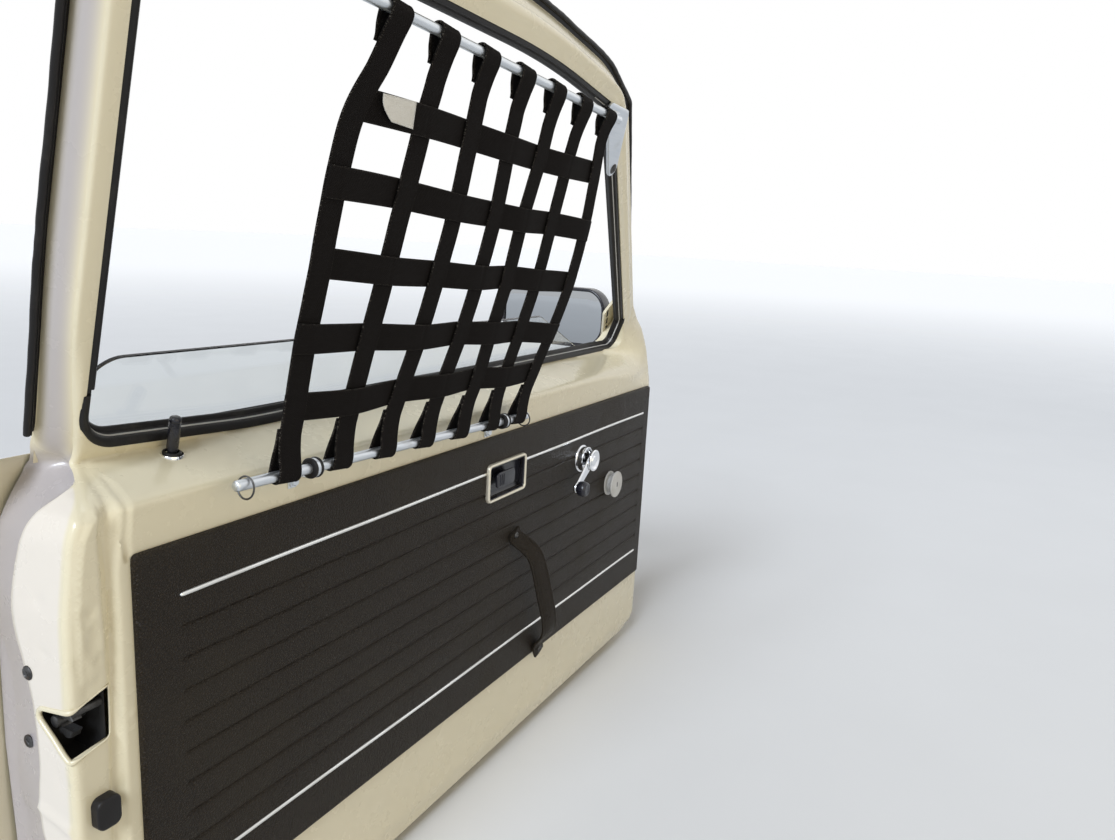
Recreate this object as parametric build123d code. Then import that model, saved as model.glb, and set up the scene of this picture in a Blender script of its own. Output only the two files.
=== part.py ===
from build123d import *
import math
import os

# Left front door of a two-door coupe with a webbing window net. Millimetres.
# Everything is laid out from the rear upper corner of the trim card: X runs forward to the
# hinges, Y outward through the door and Z up. ORIGIN then moves it to the upper hinge's pad.

# Door shell
SHELL_REAR = -50.0
SHELL_FRONT = 1049.0
SHELL_BOTTOM = -466.0
SHELL_FACE = 6.0
SHEET = 1.2
REAR_CORNER = 70.0
FRONT_CORNER = 62.0
FIELD_PROUD = 4.0
FIELD_REAR = -11.0
FIELD_FRONT = 1034.0
FIELD_BOTTOM = -438.0
CREASE_Z = 38.0
WAIST_Y = 50.0
WAIST_Z = 80.0
SILL_DROP = 21.0

# Rear shut face: it steps back outboard of this line, given as (Y, Z, corner radius)
SHUT_STEP = 8.0
SHUT_LINE = [
    (-30.0, 94.0, 1.0),
    (36.0, 47.0, 25.0),
    (83.0, -30.0, 60.0),
    (84.0, -90.0, 60.0),
    (66.0, -190.0, 80.0),
    (58.0, -246.0, 80.0),
]

# Outer skin: section of the side as (Y, Z), top to bottom
SKIN = 1.0
SKIN_LAP = 9.0
SKIN_GAP = 0.3
SKIN_TOP = (88.0, 68.0)
SKIN_SHOULDER = (103.0, 55.0)
SKIN_SIDE = (117.0, 12.0)
SKIN_BELLY = (130.0, -180.0)
SKIN_FOOT = (104.0, -470.0)

# Window frame, in a plane that leans inward from the waist
LEAN = 23.75
FRAME_DEPTH = 28.0
GLASS_THICK = 4.0
GLASS_IN = 16.0
CHANNEL_WIDTH = 11.0
CHANNEL_JOINT = 41.0
SEAL_SIZE = 6.0

# Corners in the frame's own plane: along the door, up the slope, corner radius
GLASS = [
    (1.0, 61.0, 30.0),
    (700.0, 54.0, 24.0),
    (1000.0, -62.0, 1.0),
    (8.0, -62.0, 1.0),
]
FRAME_OPENING = [
    (3.0, -17.0, 34.0),
    (-44.0, 391.0, 46.0),
    (430.0, 373.0, 1500.0),
    (606.0, 358.0, 26.0),
    (1024.0, -17.0, 24.0),
]
FRAME_OUTLINE = [
    (-37.0, -34.0, 1.0),
    (-74.0, 436.0, 92.0),
    (400.0, 421.0, 1400.0),
    (600.0, 394.0, 300.0),
    (694.0, 360.0, 26.0),
    (1046.0, 36.0, 20.0),
    (1046.0, -34.0, 1.0),
]

# Trim card and what is on it
CARD_LENGTH = 1030.0
CARD_HEIGHT = 345.0
CARD_THICK = 5.0
CARD_CORNER = 5.0
STRIP_REAR = 39.0
STRIP_FRONT = 1004.0
STRIP_WIDTH = 3.6
STRIP_PROUD = 1.6
STRIP_UPPER_Z = -44.5
STRIP_LOWER_Z = -297.0
PLEAT_COUNT = 8
PLEAT_WIDTH = 3.0
PLEAT_DEPTH = 1.2

BEZEL_X = 540.0
BEZEL_Z = -58.5
BEZEL_LENGTH = 94.0
BEZEL_HEIGHT = 50.0
BEZEL_RIM = 4.0
BEZEL_PROUD = 5.0
CUP_WALL = 1.5
LEVER_LENGTH = 44.0
LEVER_HEIGHT = 18.0
LEVER_THICK = 4.0

WINDER_X = 762.5
WINDER_Z = -78.0
WINDER_REACH = 56.0
WINDER_ANGLE = 216.0
WINDER_PROUD = 24.0
WINDER_HUB = 16.5
WINDER_ARM = (4.0, 9.0)
ESCUTCHEON_RADIUS = 21.0
ESCUTCHEON_PROUD = 11.0
KNOB_RADIUS = 11.5
KNOB_LENGTH = 15.0

DISC_X = 875.0
DISC_Z = -142.5
DISC_RADIUS = 21.5
DISC_THICK = 4.0
DISC_PROUD = 14.5

PULL_TOP = (569.0, -150.0)
PULL_FOOT = (646.0, -336.0)
PULL_WIDTH = 24.0
PULL_THICK = 4.0
PULL_STAND = 34.0

PLUNGER_X = 76.0
PLUNGER_IN = 44.5
PLUNGER_LEAN = 11.5
PLUNGER_RADIUS = 5.0
PLUNGER_RISE = 34.0

# Latch in the rear shut face
LATCH_Z = -126.0
LATCH_DEPTH = 44.0
BUFFER_X = -30.0
BUFFER_Z = -197.0

# Hinges on the front shut face
PIN_AHEAD = 14.0
PIN_Y = 70.0
PIN_RADIUS = 5.0
PIN_PLAY = 0.05
HINGE_Z = (-40.0, -330.0)
LEAF_HEIGHT = 66.0
LEAF_THICK = 5.0
LEAF_WIDTH = 44.0
LEAF_BOLTS = 34.0
BOLT_HOLE = 4.25
KNUCKLE = 11.0
KNUCKLE_GAP = 0.4
PAD_AHEAD = 20.0
OPEN_ANGLE = 48.0

# Window net, in a plane of its own through both rods
NET_FOOT_Y = -25.0
NET_FOOT_Z = 41.0
NET_LEAN = 12.3
ROD_RADIUS = 4.75
WEBBING = 26.0
PLY = 2.4
CLEAR = 0.3
STRAP_COUNT = 7
STRAP_FOOT = (132.0, 66.0)
STRAP_HEAD = (172.0, 67.0)
LOWER_ROD = ((77.0, -1.0), (556.0, -18.0))
UPPER_ROD = ((14.0, 389.0), (609.0, 357.0))
ROW_END = 14.5

# Uprights bow along the door: how far each one stands ahead of its straight line at these heights
BOW_AT = (46.0, 104.0, 165.0, 230.0, 298.0, 343.0)
STRAP_BOW = [
    (-7.0, -13.0, -16.0, -20.0, -21.0, -4.0),
    (0.0, 0.0, 2.0, 0.0, 0.0, 2.0),
    (3.0, 11.0, 13.0, 14.0, 8.0, 4.0),
    (8.0, 16.0, 21.0, 20.0, 11.0, 5.0),
    (9.0, 12.0, 14.0, 10.0, 9.0, 5.0),
    (5.0, 11.0, 15.0, 9.0, 5.0, 4.0),
    (12.0, 28.0, 34.0, 29.0, 12.0, 0.0),
]

# Cross straps: height at the rear upright, height at the front upright
ROWS = [
    (308.0, 291.0),
    (246.0, 222.0),
    (181.0, 156.0),
    (120.0, 93.0),
    (59.0, 43.0),
]

# Rod hardware: clips on the lower rod, and the upper rod's tabs as a place on the rod with
# lugs counted from there, along and up the frame
CLAMPS = (166.0, 496.0)
FRONT_TAB = (598.0, [(42.0, 3.0), (74.0, -61.0)])
REAR_TAB = (26.0, [(-18.0, -50.0)])

# Mirror and outer handle
MIRROR_X = SHELL_FRONT - 49.0
MIRROR_Y = 187.0
MIRROR_Z = 110.0
MIRROR_WIDTH = 208.0
MIRROR_HEIGHT = 104.0
MIRROR_CORNER = 38.0
MIRROR_DEPTH = 46.0
MIRROR_RIM = 26.0
MIRROR_WALL = 5.0
HANDLE_X = 120.0
HANDLE_Z = -8.0
HANDLE_LENGTH = 150.0
HANDLE_STAND = 38.0
HANDLE_HEIGHT = 20.0

SLOPE = math.radians(LEAN)
SILL_Y = WAIST_Y + SILL_DROP * math.sin(SLOPE)
SILL_Z = WAIST_Z - SILL_DROP * math.cos(SLOPE)
FRAME_PLANE = Plane(
    origin=(0, WAIST_Y, WAIST_Z),
    x_dir=(1, 0, 0),
    z_dir=(0, -math.cos(SLOPE), -math.sin(SLOPE)),
)
NET_SLOPE = math.radians(NET_LEAN)
NET_PLANE = Plane(
    origin=(0, NET_FOOT_Y, NET_FOOT_Z),
    x_dir=(1, 0, 0),
    z_dir=(0, -math.cos(NET_SLOPE), -math.sin(NET_SLOPE)),
)


def across(face, inner, outer):
    """Extrude an X-Z face through the door, from Y inner to Y outer."""
    return extrude(Plane.XZ.offset(-inner) * face, amount=inner - outer)


def along(face, rear, front):
    """Extrude a Y-Z face along the door, from X rear to X front."""
    return extrude(Plane.YZ.offset(rear) * face, amount=front - rear)


def leaned(face, inner, outer):
    """Extrude a face of the frame plane, depths counted outward from its inner side."""
    return extrude(FRAME_PLANE.offset(-inner) * face, amount=inner - outer)


def rounded(corners, grow=0.0):
    """Face inside a closed outline of (x, y, radius) corners, grown or shrunk by grow."""
    points = [(x, y) for x, y, radius in corners]
    radii = [radius for x, y, radius in corners]
    face = make_face(FilletPolyline(*points, radius=radii, close=True))
    if grow:
        face = make_face(offset(face.wire(), amount=grow).edges())
    return face


def box_between(x, y, z):
    """Box between pairs of X, Y and Z."""
    size = (x[1] - x[0], y[1] - y[0], z[1] - z[0])
    return Pos((x[0] + x[1]) / 2, (y[0] + y[1]) / 2, (z[0] + z[1]) / 2) * Box(*size)


def peg(x, z, radius, inner, outer):
    """Cylinder through the door's thickness at X, Z."""
    return across(Pos(x, z) * Circle(radius), inner, outer)


# Door shell

def side_section(inset):
    """Y-Z section of the skin's outer curve, closed far inboard, drawn in by inset."""
    line = [SKIN_TOP, SKIN_SHOULDER, SKIN_SIDE, SKIN_BELLY, SKIN_FOOT]
    top, shoulder, side, belly, foot = [(y - inset, z) for y, z in line]
    curve = [ThreePointArc(top, shoulder, side), ThreePointArc(side, belly, foot)]
    low = SHELL_BOTTOM - 3 * SKIN_LAP
    high = WAIST_Z + 20
    inboard = Polyline(foot, (foot[0], low), (-100, low), (-100, high), (top[0], high), top)
    return make_face(curve + [inboard])


def shell_side(inset):
    """Side outline of the shell, drawn in by inset at the rear, bottom and front."""
    corners = [
        (SHELL_REAR + inset, WAIST_Z + 40, 1),
        (SHELL_REAR + inset, SHELL_BOTTOM + inset, REAR_CORNER - inset),
        (SHELL_FRONT - inset, SHELL_BOTTOM + 12 + inset, FRONT_CORNER - inset),
        (SHELL_FRONT - inset, WAIST_Z + 40, 1),
    ]
    return rounded(corners)


def shell_section(face_y, inset):
    """Y-Z outline of the inner pressing: upright face, crease, ledge, sill and waist."""
    reach = SKIN_SIDE[0]
    rise = (SILL_Z - CREASE_Z) / (SILL_Y - face_y)
    ledge = inset * math.hypot(1, rise)
    crease = CREASE_Z - inset * (math.hypot(1, rise) - rise)
    corners = [
        (face_y + inset, SHELL_BOTTOM - 60, 1),
        (face_y + inset, crease, 16),
        (SILL_Y, SILL_Z - ledge, 1),
    ]
    if inset:
        corners += [(SILL_Y, WAIST_Z + 30, 1), (reach + 90, WAIST_Z + 30, 1)]
    else:
        corners += [(WAIST_Y, WAIST_Z, 1), (reach + 90, WAIST_Z - 30, 1)]
    corners += [(reach + 90, SHELL_BOTTOM - 60, 1)]
    return rounded(corners)


def field_side(inset):
    """Side outline of the raised field that carries the trim card."""
    corners = [
        (FIELD_REAR + inset, WAIST_Z + 40, 1),
        (FIELD_REAR + inset, FIELD_BOTTOM + inset, REAR_CORNER - 25),
        (FIELD_FRONT - inset, FIELD_BOTTOM + 10 + inset, FRONT_CORNER - 20),
        (FIELD_FRONT - inset, WAIST_Z + 40, 1),
    ]
    return rounded(corners)


def shut_step(inset):
    """Space outboard of the rear shut face's raised pad, grown by inset."""
    foot = SHELL_BOTTOM - 60
    inboard, top = SHUT_LINE[0][:2]
    outboard = SKIN_BELLY[0] + 100
    corners = SHUT_LINE + [
        (SHUT_LINE[-1][0], foot, 1),
        (outboard, foot, 1),
        (outboard, top + 40, 1),
        (inboard, top + 40, 1),
    ]
    return along(rounded(corners, inset), SHELL_REAR - 60, SHELL_REAR + SHUT_STEP + inset)


def pressing(inset):
    """Solid inside the inner pressing, drawn in by inset."""
    ends = (SHELL_REAR - 50, SHELL_FRONT + 50)
    shell = across(shell_side(inset), -20, 200) & along(shell_section(SHELL_FACE, inset), *ends)
    field_y = SHELL_FACE - FIELD_PROUD
    field = across(field_side(inset), field_y + inset, SHELL_FACE + 20)
    field = field & along(shell_section(field_y, inset), *ends)
    return (shell + field) - shut_step(inset)


def latch_mouth():
    """Opening that runs round the rear corner from the shut face to the flange."""
    z = LATCH_Z
    deep = LATCH_DEPTH
    shut = [(-5, z + 18), (deep, z + 12), (deep, z + 2), (-5, z - 22)]
    edge = SHELL_REAR - 2
    flange = [(edge, z + 18), (-19, z + 29), (-19, z - 14), (edge, z - 22)]
    mouth = along(make_face(Polyline(*shut, close=True)), SHELL_REAR - 5, SHELL_REAR + 4)
    return mouth + across(make_face(Polyline(*flange, close=True)), -5, SHELL_FACE + 6)


def inner_panel():
    skin_line = along(side_section(SKIN + SKIN_GAP), SHELL_REAR - 20, SHELL_FRONT + 20)
    panel = (pressing(0) & skin_line) - pressing(SHEET)
    panel -= leaned(rounded(FRAME_OUTLINE), 0, FRAME_DEPTH)
    length = (FRAME_OPENING[0][0] + 12, FRAME_OPENING[-1][0] - 30)
    middle = (length[0] + length[1]) / 2
    flange = Pos(middle, FRAME_OPENING[0][1] - 13) * Rectangle(length[1] - length[0], 25.6)
    panel += leaned(flange, -SHEET, 0)
    panel -= latch_mouth()
    panel -= peg(BEZEL_X, BEZEL_Z, 16, -5, 12)
    panel -= peg(WINDER_X, WINDER_Z, 9, -5, 12)
    panel -= plunger_place() * Cylinder(PLUNGER_RADIUS + 2, 40)
    return panel


def plunger_place():
    """Where the lock plunger's middle line leaves the sloping ledge."""
    face_y = SHELL_FACE - FIELD_PROUD
    rise = (SILL_Z - CREASE_Z) / (SILL_Y - face_y)
    return Pos(PLUNGER_X, face_y + PLUNGER_IN, CREASE_Z + PLUNGER_IN * rise) * Rot(PLUNGER_LEAN, 0, 0)


def outer_skin():
    outer = along(side_section(0), SHELL_REAR - 40, SHELL_FRONT + 40)
    inner = along(side_section(SKIN), SHELL_REAR - 50, SHELL_FRONT + 50)
    cover = across(shell_side(-SKIN_LAP), 40, 200)
    length = (SHELL_REAR - 60, SHELL_FRONT + 60)
    below = box_between(length, (0, SKIN_TOP[0] + 100), (SHELL_BOTTOM - 40, SKIN_TOP[1]))
    return ((outer - inner) & cover) & below


# Window frame, glass and seals

def window_frame():
    depth = FRAME_DEPTH
    body = leaned(rounded(FRAME_OUTLINE), 0, depth)
    lip = leaned(rounded(FRAME_OUTLINE, 4), depth - 3, depth)
    trim = box_between((SHELL_REAR - 60, SHELL_FRONT + 60), (-200, 200), (WAIST_Z + 8, WAIST_Z + 500))
    body += lip & trim
    body -= leaned(rounded(FRAME_OPENING), -1, depth + 1)
    run = leaned(rounded(FRAME_OPENING, CHANNEL_WIDTH), GLASS_IN - 4, GLASS_IN + GLASS_THICK + 4)
    body -= run
    slot = Pos(500, -20) * Rectangle(1010, 40)
    body -= leaned(slot, GLASS_IN - 4, GLASS_IN + GLASS_THICK + 4)
    return body


def opening_rubber(low, high, inner):
    """Rubber lip round the opening, between two heights of the frame plane."""
    outer = GLASS_IN - CLEAR
    ring = leaned(rounded(FRAME_OPENING), inner, outer)
    ring -= leaned(rounded(FRAME_OPENING, -CHANNEL_WIDTH), inner - 1, outer + 1)
    middle = (SHELL_REAR + SHELL_FRONT) / 2
    part = Pos(middle, (low + high) / 2) * Rectangle(2 * SHELL_FRONT, high - low)
    return ring & leaned(part, inner - 1, outer + 1)


def window_channel():
    return opening_rubber(CHANNEL_JOINT + CLEAR, FRAME_OUTLINE[1][1], 1)


def waist_seal_inner():
    return opening_rubber(FRAME_OUTLINE[0][1], CHANNEL_JOINT, -4)


def waist_seal_outer():
    rear, front = GLASS[3][0] + 36, GLASS[2][0] - 40
    strip = Pos((rear + front) / 2, FRAME_OPENING[0][1] - 3) * Rectangle(front - rear, 12)
    return leaned(strip, GLASS_IN + GLASS_THICK, GLASS_IN + GLASS_THICK + 4)


def window_glass():
    return leaned(rounded(GLASS), GLASS_IN, GLASS_IN + GLASS_THICK)


def frame_seal():
    """Hollow bulb round the frame's outer edge, seated on its lip."""
    path_out = rounded(FRAME_OUTLINE, 4 + CLEAR + SEAL_SIZE)
    path_in = rounded(FRAME_OUTLINE, 4 + CLEAR)
    ring = leaned(path_out, FRAME_DEPTH - SEAL_SIZE, FRAME_DEPTH) - leaned(path_in, 0, FRAME_DEPTH + 1)
    above = box_between((SHELL_REAR - 90, SHELL_FRONT + 3), (-200, 200), (WAIST_Z + 12, WAIST_Z + 500))
    return ring & above


# Trim card

def trim_card():
    corners = [
        (0, 0, CARD_CORNER),
        (0, -CARD_HEIGHT, CARD_CORNER),
        (CARD_LENGTH, -CARD_HEIGHT, CARD_CORNER),
        (CARD_LENGTH, 0, CARD_CORNER),
    ]
    back = SHELL_FACE - FIELD_PROUD
    card = across(rounded(corners), back - CARD_THICK, back)
    pitch = (STRIP_UPPER_Z - STRIP_LOWER_Z) / (PLEAT_COUNT + 1)
    for i in range(PLEAT_COUNT):
        z = STRIP_UPPER_Z - pitch * (i + 1)
        groove = Pos((STRIP_REAR + STRIP_FRONT) / 2, z) * Rectangle(STRIP_FRONT - STRIP_REAR, PLEAT_WIDTH)
        card -= across(groove, back - CARD_THICK - 1, back - CARD_THICK + PLEAT_DEPTH)
    card -= across(bezel_hole(), back - CARD_THICK - 1, back + 1)
    return card


CARD_FACE = SHELL_FACE - FIELD_PROUD - CARD_THICK


def card_strips():
    gap = (BEZEL_X - BEZEL_LENGTH / 2 - CLEAR, BEZEL_X + BEZEL_LENGTH / 2 + CLEAR)
    runs = [
        (STRIP_REAR, gap[0], STRIP_UPPER_Z),
        (gap[1], STRIP_FRONT, STRIP_UPPER_Z),
        (STRIP_REAR, STRIP_FRONT, STRIP_LOWER_Z),
    ]
    strips = []
    for rear, front, z in runs:
        strip = Pos((rear + front) / 2, z) * SlotOverall(front - rear, STRIP_WIDTH)
        strips.append(across(strip, CARD_FACE - STRIP_PROUD, CARD_FACE))
    return strips


def bezel_hole():
    rim = 2 * BEZEL_RIM
    return Pos(BEZEL_X, BEZEL_Z) * RectangleRounded(BEZEL_LENGTH - rim, BEZEL_HEIGHT - rim, 4)


def release_bezel():
    outer = Pos(BEZEL_X, BEZEL_Z) * RectangleRounded(BEZEL_LENGTH, BEZEL_HEIGHT, 7)
    hole = across(bezel_hole(), CARD_FACE - 20, CARD_FACE + 1)
    return across(outer, CARD_FACE - BEZEL_PROUD, CARD_FACE) - hole


def release_cup():
    length = BEZEL_LENGTH - 2 * BEZEL_RIM - 2 * CLEAR
    height = BEZEL_HEIGHT - 2 * BEZEL_RIM - 2 * CLEAR
    outer = Pos(BEZEL_X, BEZEL_Z) * RectangleRounded(length, height, 4)
    inner = Pos(BEZEL_X, BEZEL_Z) * RectangleRounded(length - 2 * CUP_WALL, height - 2 * CUP_WALL, 3)
    front = CARD_FACE - BEZEL_PROUD + 2
    floor = CARD_FACE + CARD_THICK - CLEAR
    return across(outer, front, floor) - across(inner, front - 1, floor - CUP_WALL)


def release_lever():
    front = CARD_FACE - BEZEL_PROUD - 1
    floor = CARD_FACE + CARD_THICK - CLEAR - CUP_WALL
    blade = Pos(BEZEL_X - 6, BEZEL_Z) * RectangleRounded(LEVER_LENGTH, LEVER_HEIGHT, 4)
    stem = Pos(BEZEL_X + LEVER_LENGTH / 2 - 14, BEZEL_Z) * RectangleRounded(10, 10, 2)
    return across(blade, front, front + LEVER_THICK) + across(stem, front + LEVER_THICK, floor)


def winder_tip():
    angle = math.radians(WINDER_ANGLE)
    return WINDER_X + WINDER_REACH * math.cos(angle), WINDER_Z + WINDER_REACH * math.sin(angle)


def winder_handle():
    top = CARD_FACE - WINDER_PROUD
    x, z = winder_tip()
    neck = WINDER_HUB - 6
    arm = make_hull((Pos(WINDER_X, WINDER_Z) * Circle(neck)).edges() + (Pos(x, z) * Circle(8)).edges())
    crank = across(arm, top + WINDER_ARM[0], top + WINDER_ARM[1])
    crank += peg(WINDER_X, WINDER_Z, WINDER_HUB, top, top + WINDER_ARM[0])
    crank += peg(WINDER_X, WINDER_Z, neck, top, CARD_FACE - ESCUTCHEON_PROUD - CLEAR)
    return crank


def winder_knob():
    x, z = winder_tip()
    top = CARD_FACE - WINDER_PROUD + WINDER_ARM[0] - CLEAR
    return peg(x, z, KNOB_RADIUS, top - KNOB_LENGTH, top)


def winder_escutcheon():
    flange = peg(WINDER_X, WINDER_Z, ESCUTCHEON_RADIUS, CARD_FACE - 2, CARD_FACE)
    return flange + peg(WINDER_X, WINDER_Z, ESCUTCHEON_RADIUS - 2, CARD_FACE - ESCUTCHEON_PROUD, CARD_FACE)


def disc_knob():
    front = CARD_FACE - DISC_PROUD
    disc = peg(DISC_X, DISC_Z, DISC_RADIUS, front, front + DISC_THICK)
    disc += peg(DISC_X, DISC_Z, DISC_RADIUS * 0.6, front + DISC_THICK, CARD_FACE)
    return disc + peg(DISC_X, DISC_Z, DISC_RADIUS - 1.5, CARD_FACE - 2, CARD_FACE)


def pull_strap():
    """Loop of strap bowed away from the card between two fixed ends."""
    rise = math.hypot(PULL_TOP[0] - PULL_FOOT[0], PULL_TOP[1] - PULL_FOOT[1])
    tilt = math.degrees(math.atan2(PULL_TOP[0] - PULL_FOOT[0], PULL_TOP[1] - PULL_FOOT[1]))
    face = CARD_FACE - CLEAR
    tail = 14.0
    flat = face - PULL_THICK / 2
    bow = face - PULL_STAND + PULL_THICK / 2
    points = [(flat, -tail), (flat, 2), (bow, 34), (bow, rise - 22), (flat, rise - 2), (flat, rise + tail)]
    middle = FilletPolyline(*points, radius=[12, 24, 16, 9])
    loop = along(trace(middle, PULL_THICK), -PULL_WIDTH / 2, PULL_WIDTH / 2)
    return Pos(PULL_FOOT[0], 0, PULL_FOOT[1]) * Rot(0, tilt, 0) * loop


def lock_plunger():
    return plunger_place() * Pos(0, 0, PLUNGER_RISE / 2) * Cylinder(PLUNGER_RADIUS, PLUNGER_RISE + 30)


def lock_grommet():
    place = plunger_place()
    collar = place * Cylinder(PLUNGER_RADIUS + 4, 10) - place * Cylinder(PLUNGER_RADIUS + CLEAR, 30)
    return collar - pressing(0)


# Latch and buffer on the rear edge

def latch_case():
    z = LATCH_Z
    rear = SHELL_REAR + SHEET
    body = box_between((rear, rear + 30), (SHELL_FACE + SHEET, LATCH_DEPTH + 8), (z - 34, z + 32))
    hollow = box_between((rear - 1, rear + 27), (SHELL_FACE, LATCH_DEPTH - 2), (z - 24, z + 22))
    return body - hollow


def latch_claw():
    z = LATCH_Z
    rear = SHELL_REAR + SHEET
    disc = Pos(28, z) * Circle(12)
    notch = Pos(17, z) * Rectangle(22, 9)
    claw = along(disc - notch, rear + 7, rear + 15)
    return claw + along(Pos(36, z) * Circle(5), rear + 15, rear + 27)


def bump_stop():
    body = Pos(BUFFER_X, BUFFER_Z) * RectangleRounded(20, 26, 5)
    return across(body, SHELL_FACE - 9, SHELL_FACE)


# Hinges, drawn closed and turned open about their pins

PIN_X = SHELL_FRONT + PIN_AHEAD


def about_pin(shape, angle):
    """Turn a shape about the pin line."""
    return Pos(PIN_X, PIN_Y, 0) * Rot(0, 0, angle) * Pos(-PIN_X, -PIN_Y, 0) * shape


LEAF_Y = PIN_Y - KNUCKLE - 4 - LEAF_WIDTH / 2


def leaf_plate(z, inner, outer):
    """Bolted plate of a leaf, with three holes on a circle."""
    plate = along(Pos(LEAF_Y, z) * Rectangle(LEAF_WIDTH, LEAF_HEIGHT), inner, outer)
    for place in PolarLocations(LEAF_BOLTS / 2, 3, start_angle=180):
        plate -= along(Pos(LEAF_Y, z) * place * Circle(BOLT_HOLE), inner - 1, outer + 1)
    return plate


def hinge_half(z, ears, plate_x):
    """Leaf with its knuckles: ears are (bottom, top) spans along the pin."""
    leaf = leaf_plate(z, plate_x, plate_x + LEAF_THICK)
    near = (plate_x, PIN_X) if plate_x < PIN_X else (PIN_X, plate_x + LEAF_THICK)
    for bottom, top in ears:
        knuckle = Pos(PIN_X, PIN_Y, z + (bottom + top) / 2) * Cylinder(KNUCKLE, top - bottom)
        arm = box_between(near, (PIN_Y - KNUCKLE - 12, PIN_Y - 2), (z + bottom, z + top))
        leaf += knuckle + arm
    bore = Pos(PIN_X, PIN_Y, z) * Cylinder(PIN_RADIUS + PIN_PLAY, LEAF_HEIGHT + 10)
    return leaf - bore


def hinge_door_leaves():
    half = LEAF_HEIGHT / 2
    ears = [(-half, -half / 3 - KNUCKLE_GAP), (half / 3 + KNUCKLE_GAP, half)]
    return [hinge_half(z, ears, SHELL_FRONT) for z in HINGE_Z]


def hinge_pillar_leaves():
    half = LEAF_HEIGHT / 2
    ears = [(-half / 3, half / 3)]
    plate = PIN_X + PAD_AHEAD - LEAF_THICK
    return [about_pin(hinge_half(z, ears, plate), OPEN_ANGLE) for z in HINGE_Z]


def hinge_pins():
    pins = []
    for z in HINGE_Z:
        pin = Pos(PIN_X, PIN_Y, z) * Cylinder(PIN_RADIUS, LEAF_HEIGHT + 4)
        head = Pos(PIN_X, PIN_Y, z + LEAF_HEIGHT / 2 + 3 + CLEAR) * Cylinder(PIN_RADIUS + 3, 6)
        pins.append(pin + head)
    return pins


# Window net

def on_net(face, depth):
    """Extrude a face of the net plane by half of depth to each side."""
    return extrude(NET_PLANE.offset(-depth / 2) * face, amount=depth)


def rod(ends, play=0.0):
    """Rod between two points of the net plane, or the longer hole that it runs in."""
    (x0, y0), (x1, y1) = ends
    start = NET_PLANE.from_local_coords((x0, y0, 0))
    end = NET_PLANE.from_local_coords((x1, y1, 0))
    way = (end - start).normalized()
    spare = 40 if play else 0
    base = Plane(origin=start - way * spare, z_dir=way)
    return Solid.make_cylinder(ROD_RADIUS + play, (end - start).length + 2 * spare, base)


def line_at(ends, x):
    (x0, y0), (x1, y1) = ends
    return y0 + (y1 - y0) * (x - x0) / (x1 - x0)


def strap_ends(i):
    """Foot and head of strap i on the two rods, in the net plane."""
    foot_x = STRAP_FOOT[0] + i * STRAP_FOOT[1]
    head_x = STRAP_HEAD[0] + i * STRAP_HEAD[1]
    return (foot_x, line_at(LOWER_ROD, foot_x)), (head_x, line_at(UPPER_ROD, head_x))


def eye(ends, x):
    """Webbing folded round a rod at x, in twelve flats."""
    (x0, y0), (x1, y1) = ends
    centre = NET_PLANE.from_local_coords((x, line_at(ends, x), 0))
    way = NET_PLANE.from_local_coords((x1, y1, 0)) - NET_PLANE.from_local_coords((x0, y0, 0))
    start = Plane(origin=centre, z_dir=way).offset(-WEBBING / 2)
    hole = RegularPolygon(ROD_RADIUS + CLEAR, 12, major_radius=False)
    ring = RegularPolygon(ROD_RADIUS + CLEAR + PLY, 12, major_radius=False) - hole
    return extrude(start * ring, amount=WEBBING)


def net_uprights():
    """Upright straps, straight from row to row, with an eye round each rod."""
    straps = []
    reach = ROD_RADIUS + CLEAR + PLY / 2
    for i in range(STRAP_COUNT):
        foot, head = strap_ends(i)
        half = WEBBING / 2
        heights = [foot[1] + reach, *BOW_AT, head[1] - reach]
        rear = [(upright_x(i, y) - half, y) for y in heights]
        front = [(upright_x(i, y) + half, y) for y in reversed(heights)]
        band = make_face(Polyline(*rear, *front, close=True))
        straps.append(on_net(band, PLY) + eye(LOWER_ROD, foot[0]) + eye(UPPER_ROD, head[0]))
    return straps


def upright_x(i, y):
    """Centre of strap i at height y of the net plane."""
    foot, head = strap_ends(i)
    knots = [(foot[1], 0), *zip(BOW_AT, STRAP_BOW[i]), (head[1], 0)]
    straight = foot[0] + (head[0] - foot[0]) * (y - foot[1]) / (head[1] - foot[1])
    for low, high in zip(knots, knots[1:]):
        if low[0] <= y <= high[0]:
            return straight + line_at((low, high), y)
    return straight


def net_crosses():
    """Cross straps that pass in front of one upright and behind the next."""
    bands = []
    side = PLY + CLEAR
    flat = WEBBING / 2 + 2
    for row, (rise, fall_to) in enumerate(ROWS):
        start = upright_x(0, rise)
        fall = (fall_to - rise) / (upright_x(STRAP_COUNT - 1, fall_to) - start)
        centre = []
        for i in range(STRAP_COUNT):
            x = upright_x(i, rise + fall * (strap_ends(i)[0][0] + 30 - start)) - start
            z = side if (i + row) % 2 else -side
            centre += [(x - flat, z), (x + flat, z)]
        centre[0] = (-ROW_END, centre[0][1])
        centre[-1] = (centre[-1][0] - flat + ROW_END, centre[-1][1])
        upper = [(x, z + PLY / 2) for x, z in centre]
        lower = [(x, z - PLY / 2) for x, z in reversed(centre)]
        weave = make_face(Polyline(*upper, *lower, close=True))
        section = Plane(
            origin=NET_PLANE.from_local_coords((upright_x(0, rise), rise, 0)),
            x_dir=NET_PLANE.x_dir,
            z_dir=NET_PLANE.y_dir,
        )
        band = extrude(section.offset(-WEBBING / 2) * weave, amount=WEBBING)
        tilt = Axis(section.origin, NET_PLANE.z_dir)
        bands.append(band.rotate(tilt, math.degrees(math.atan(fall))))
    return bands


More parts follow.
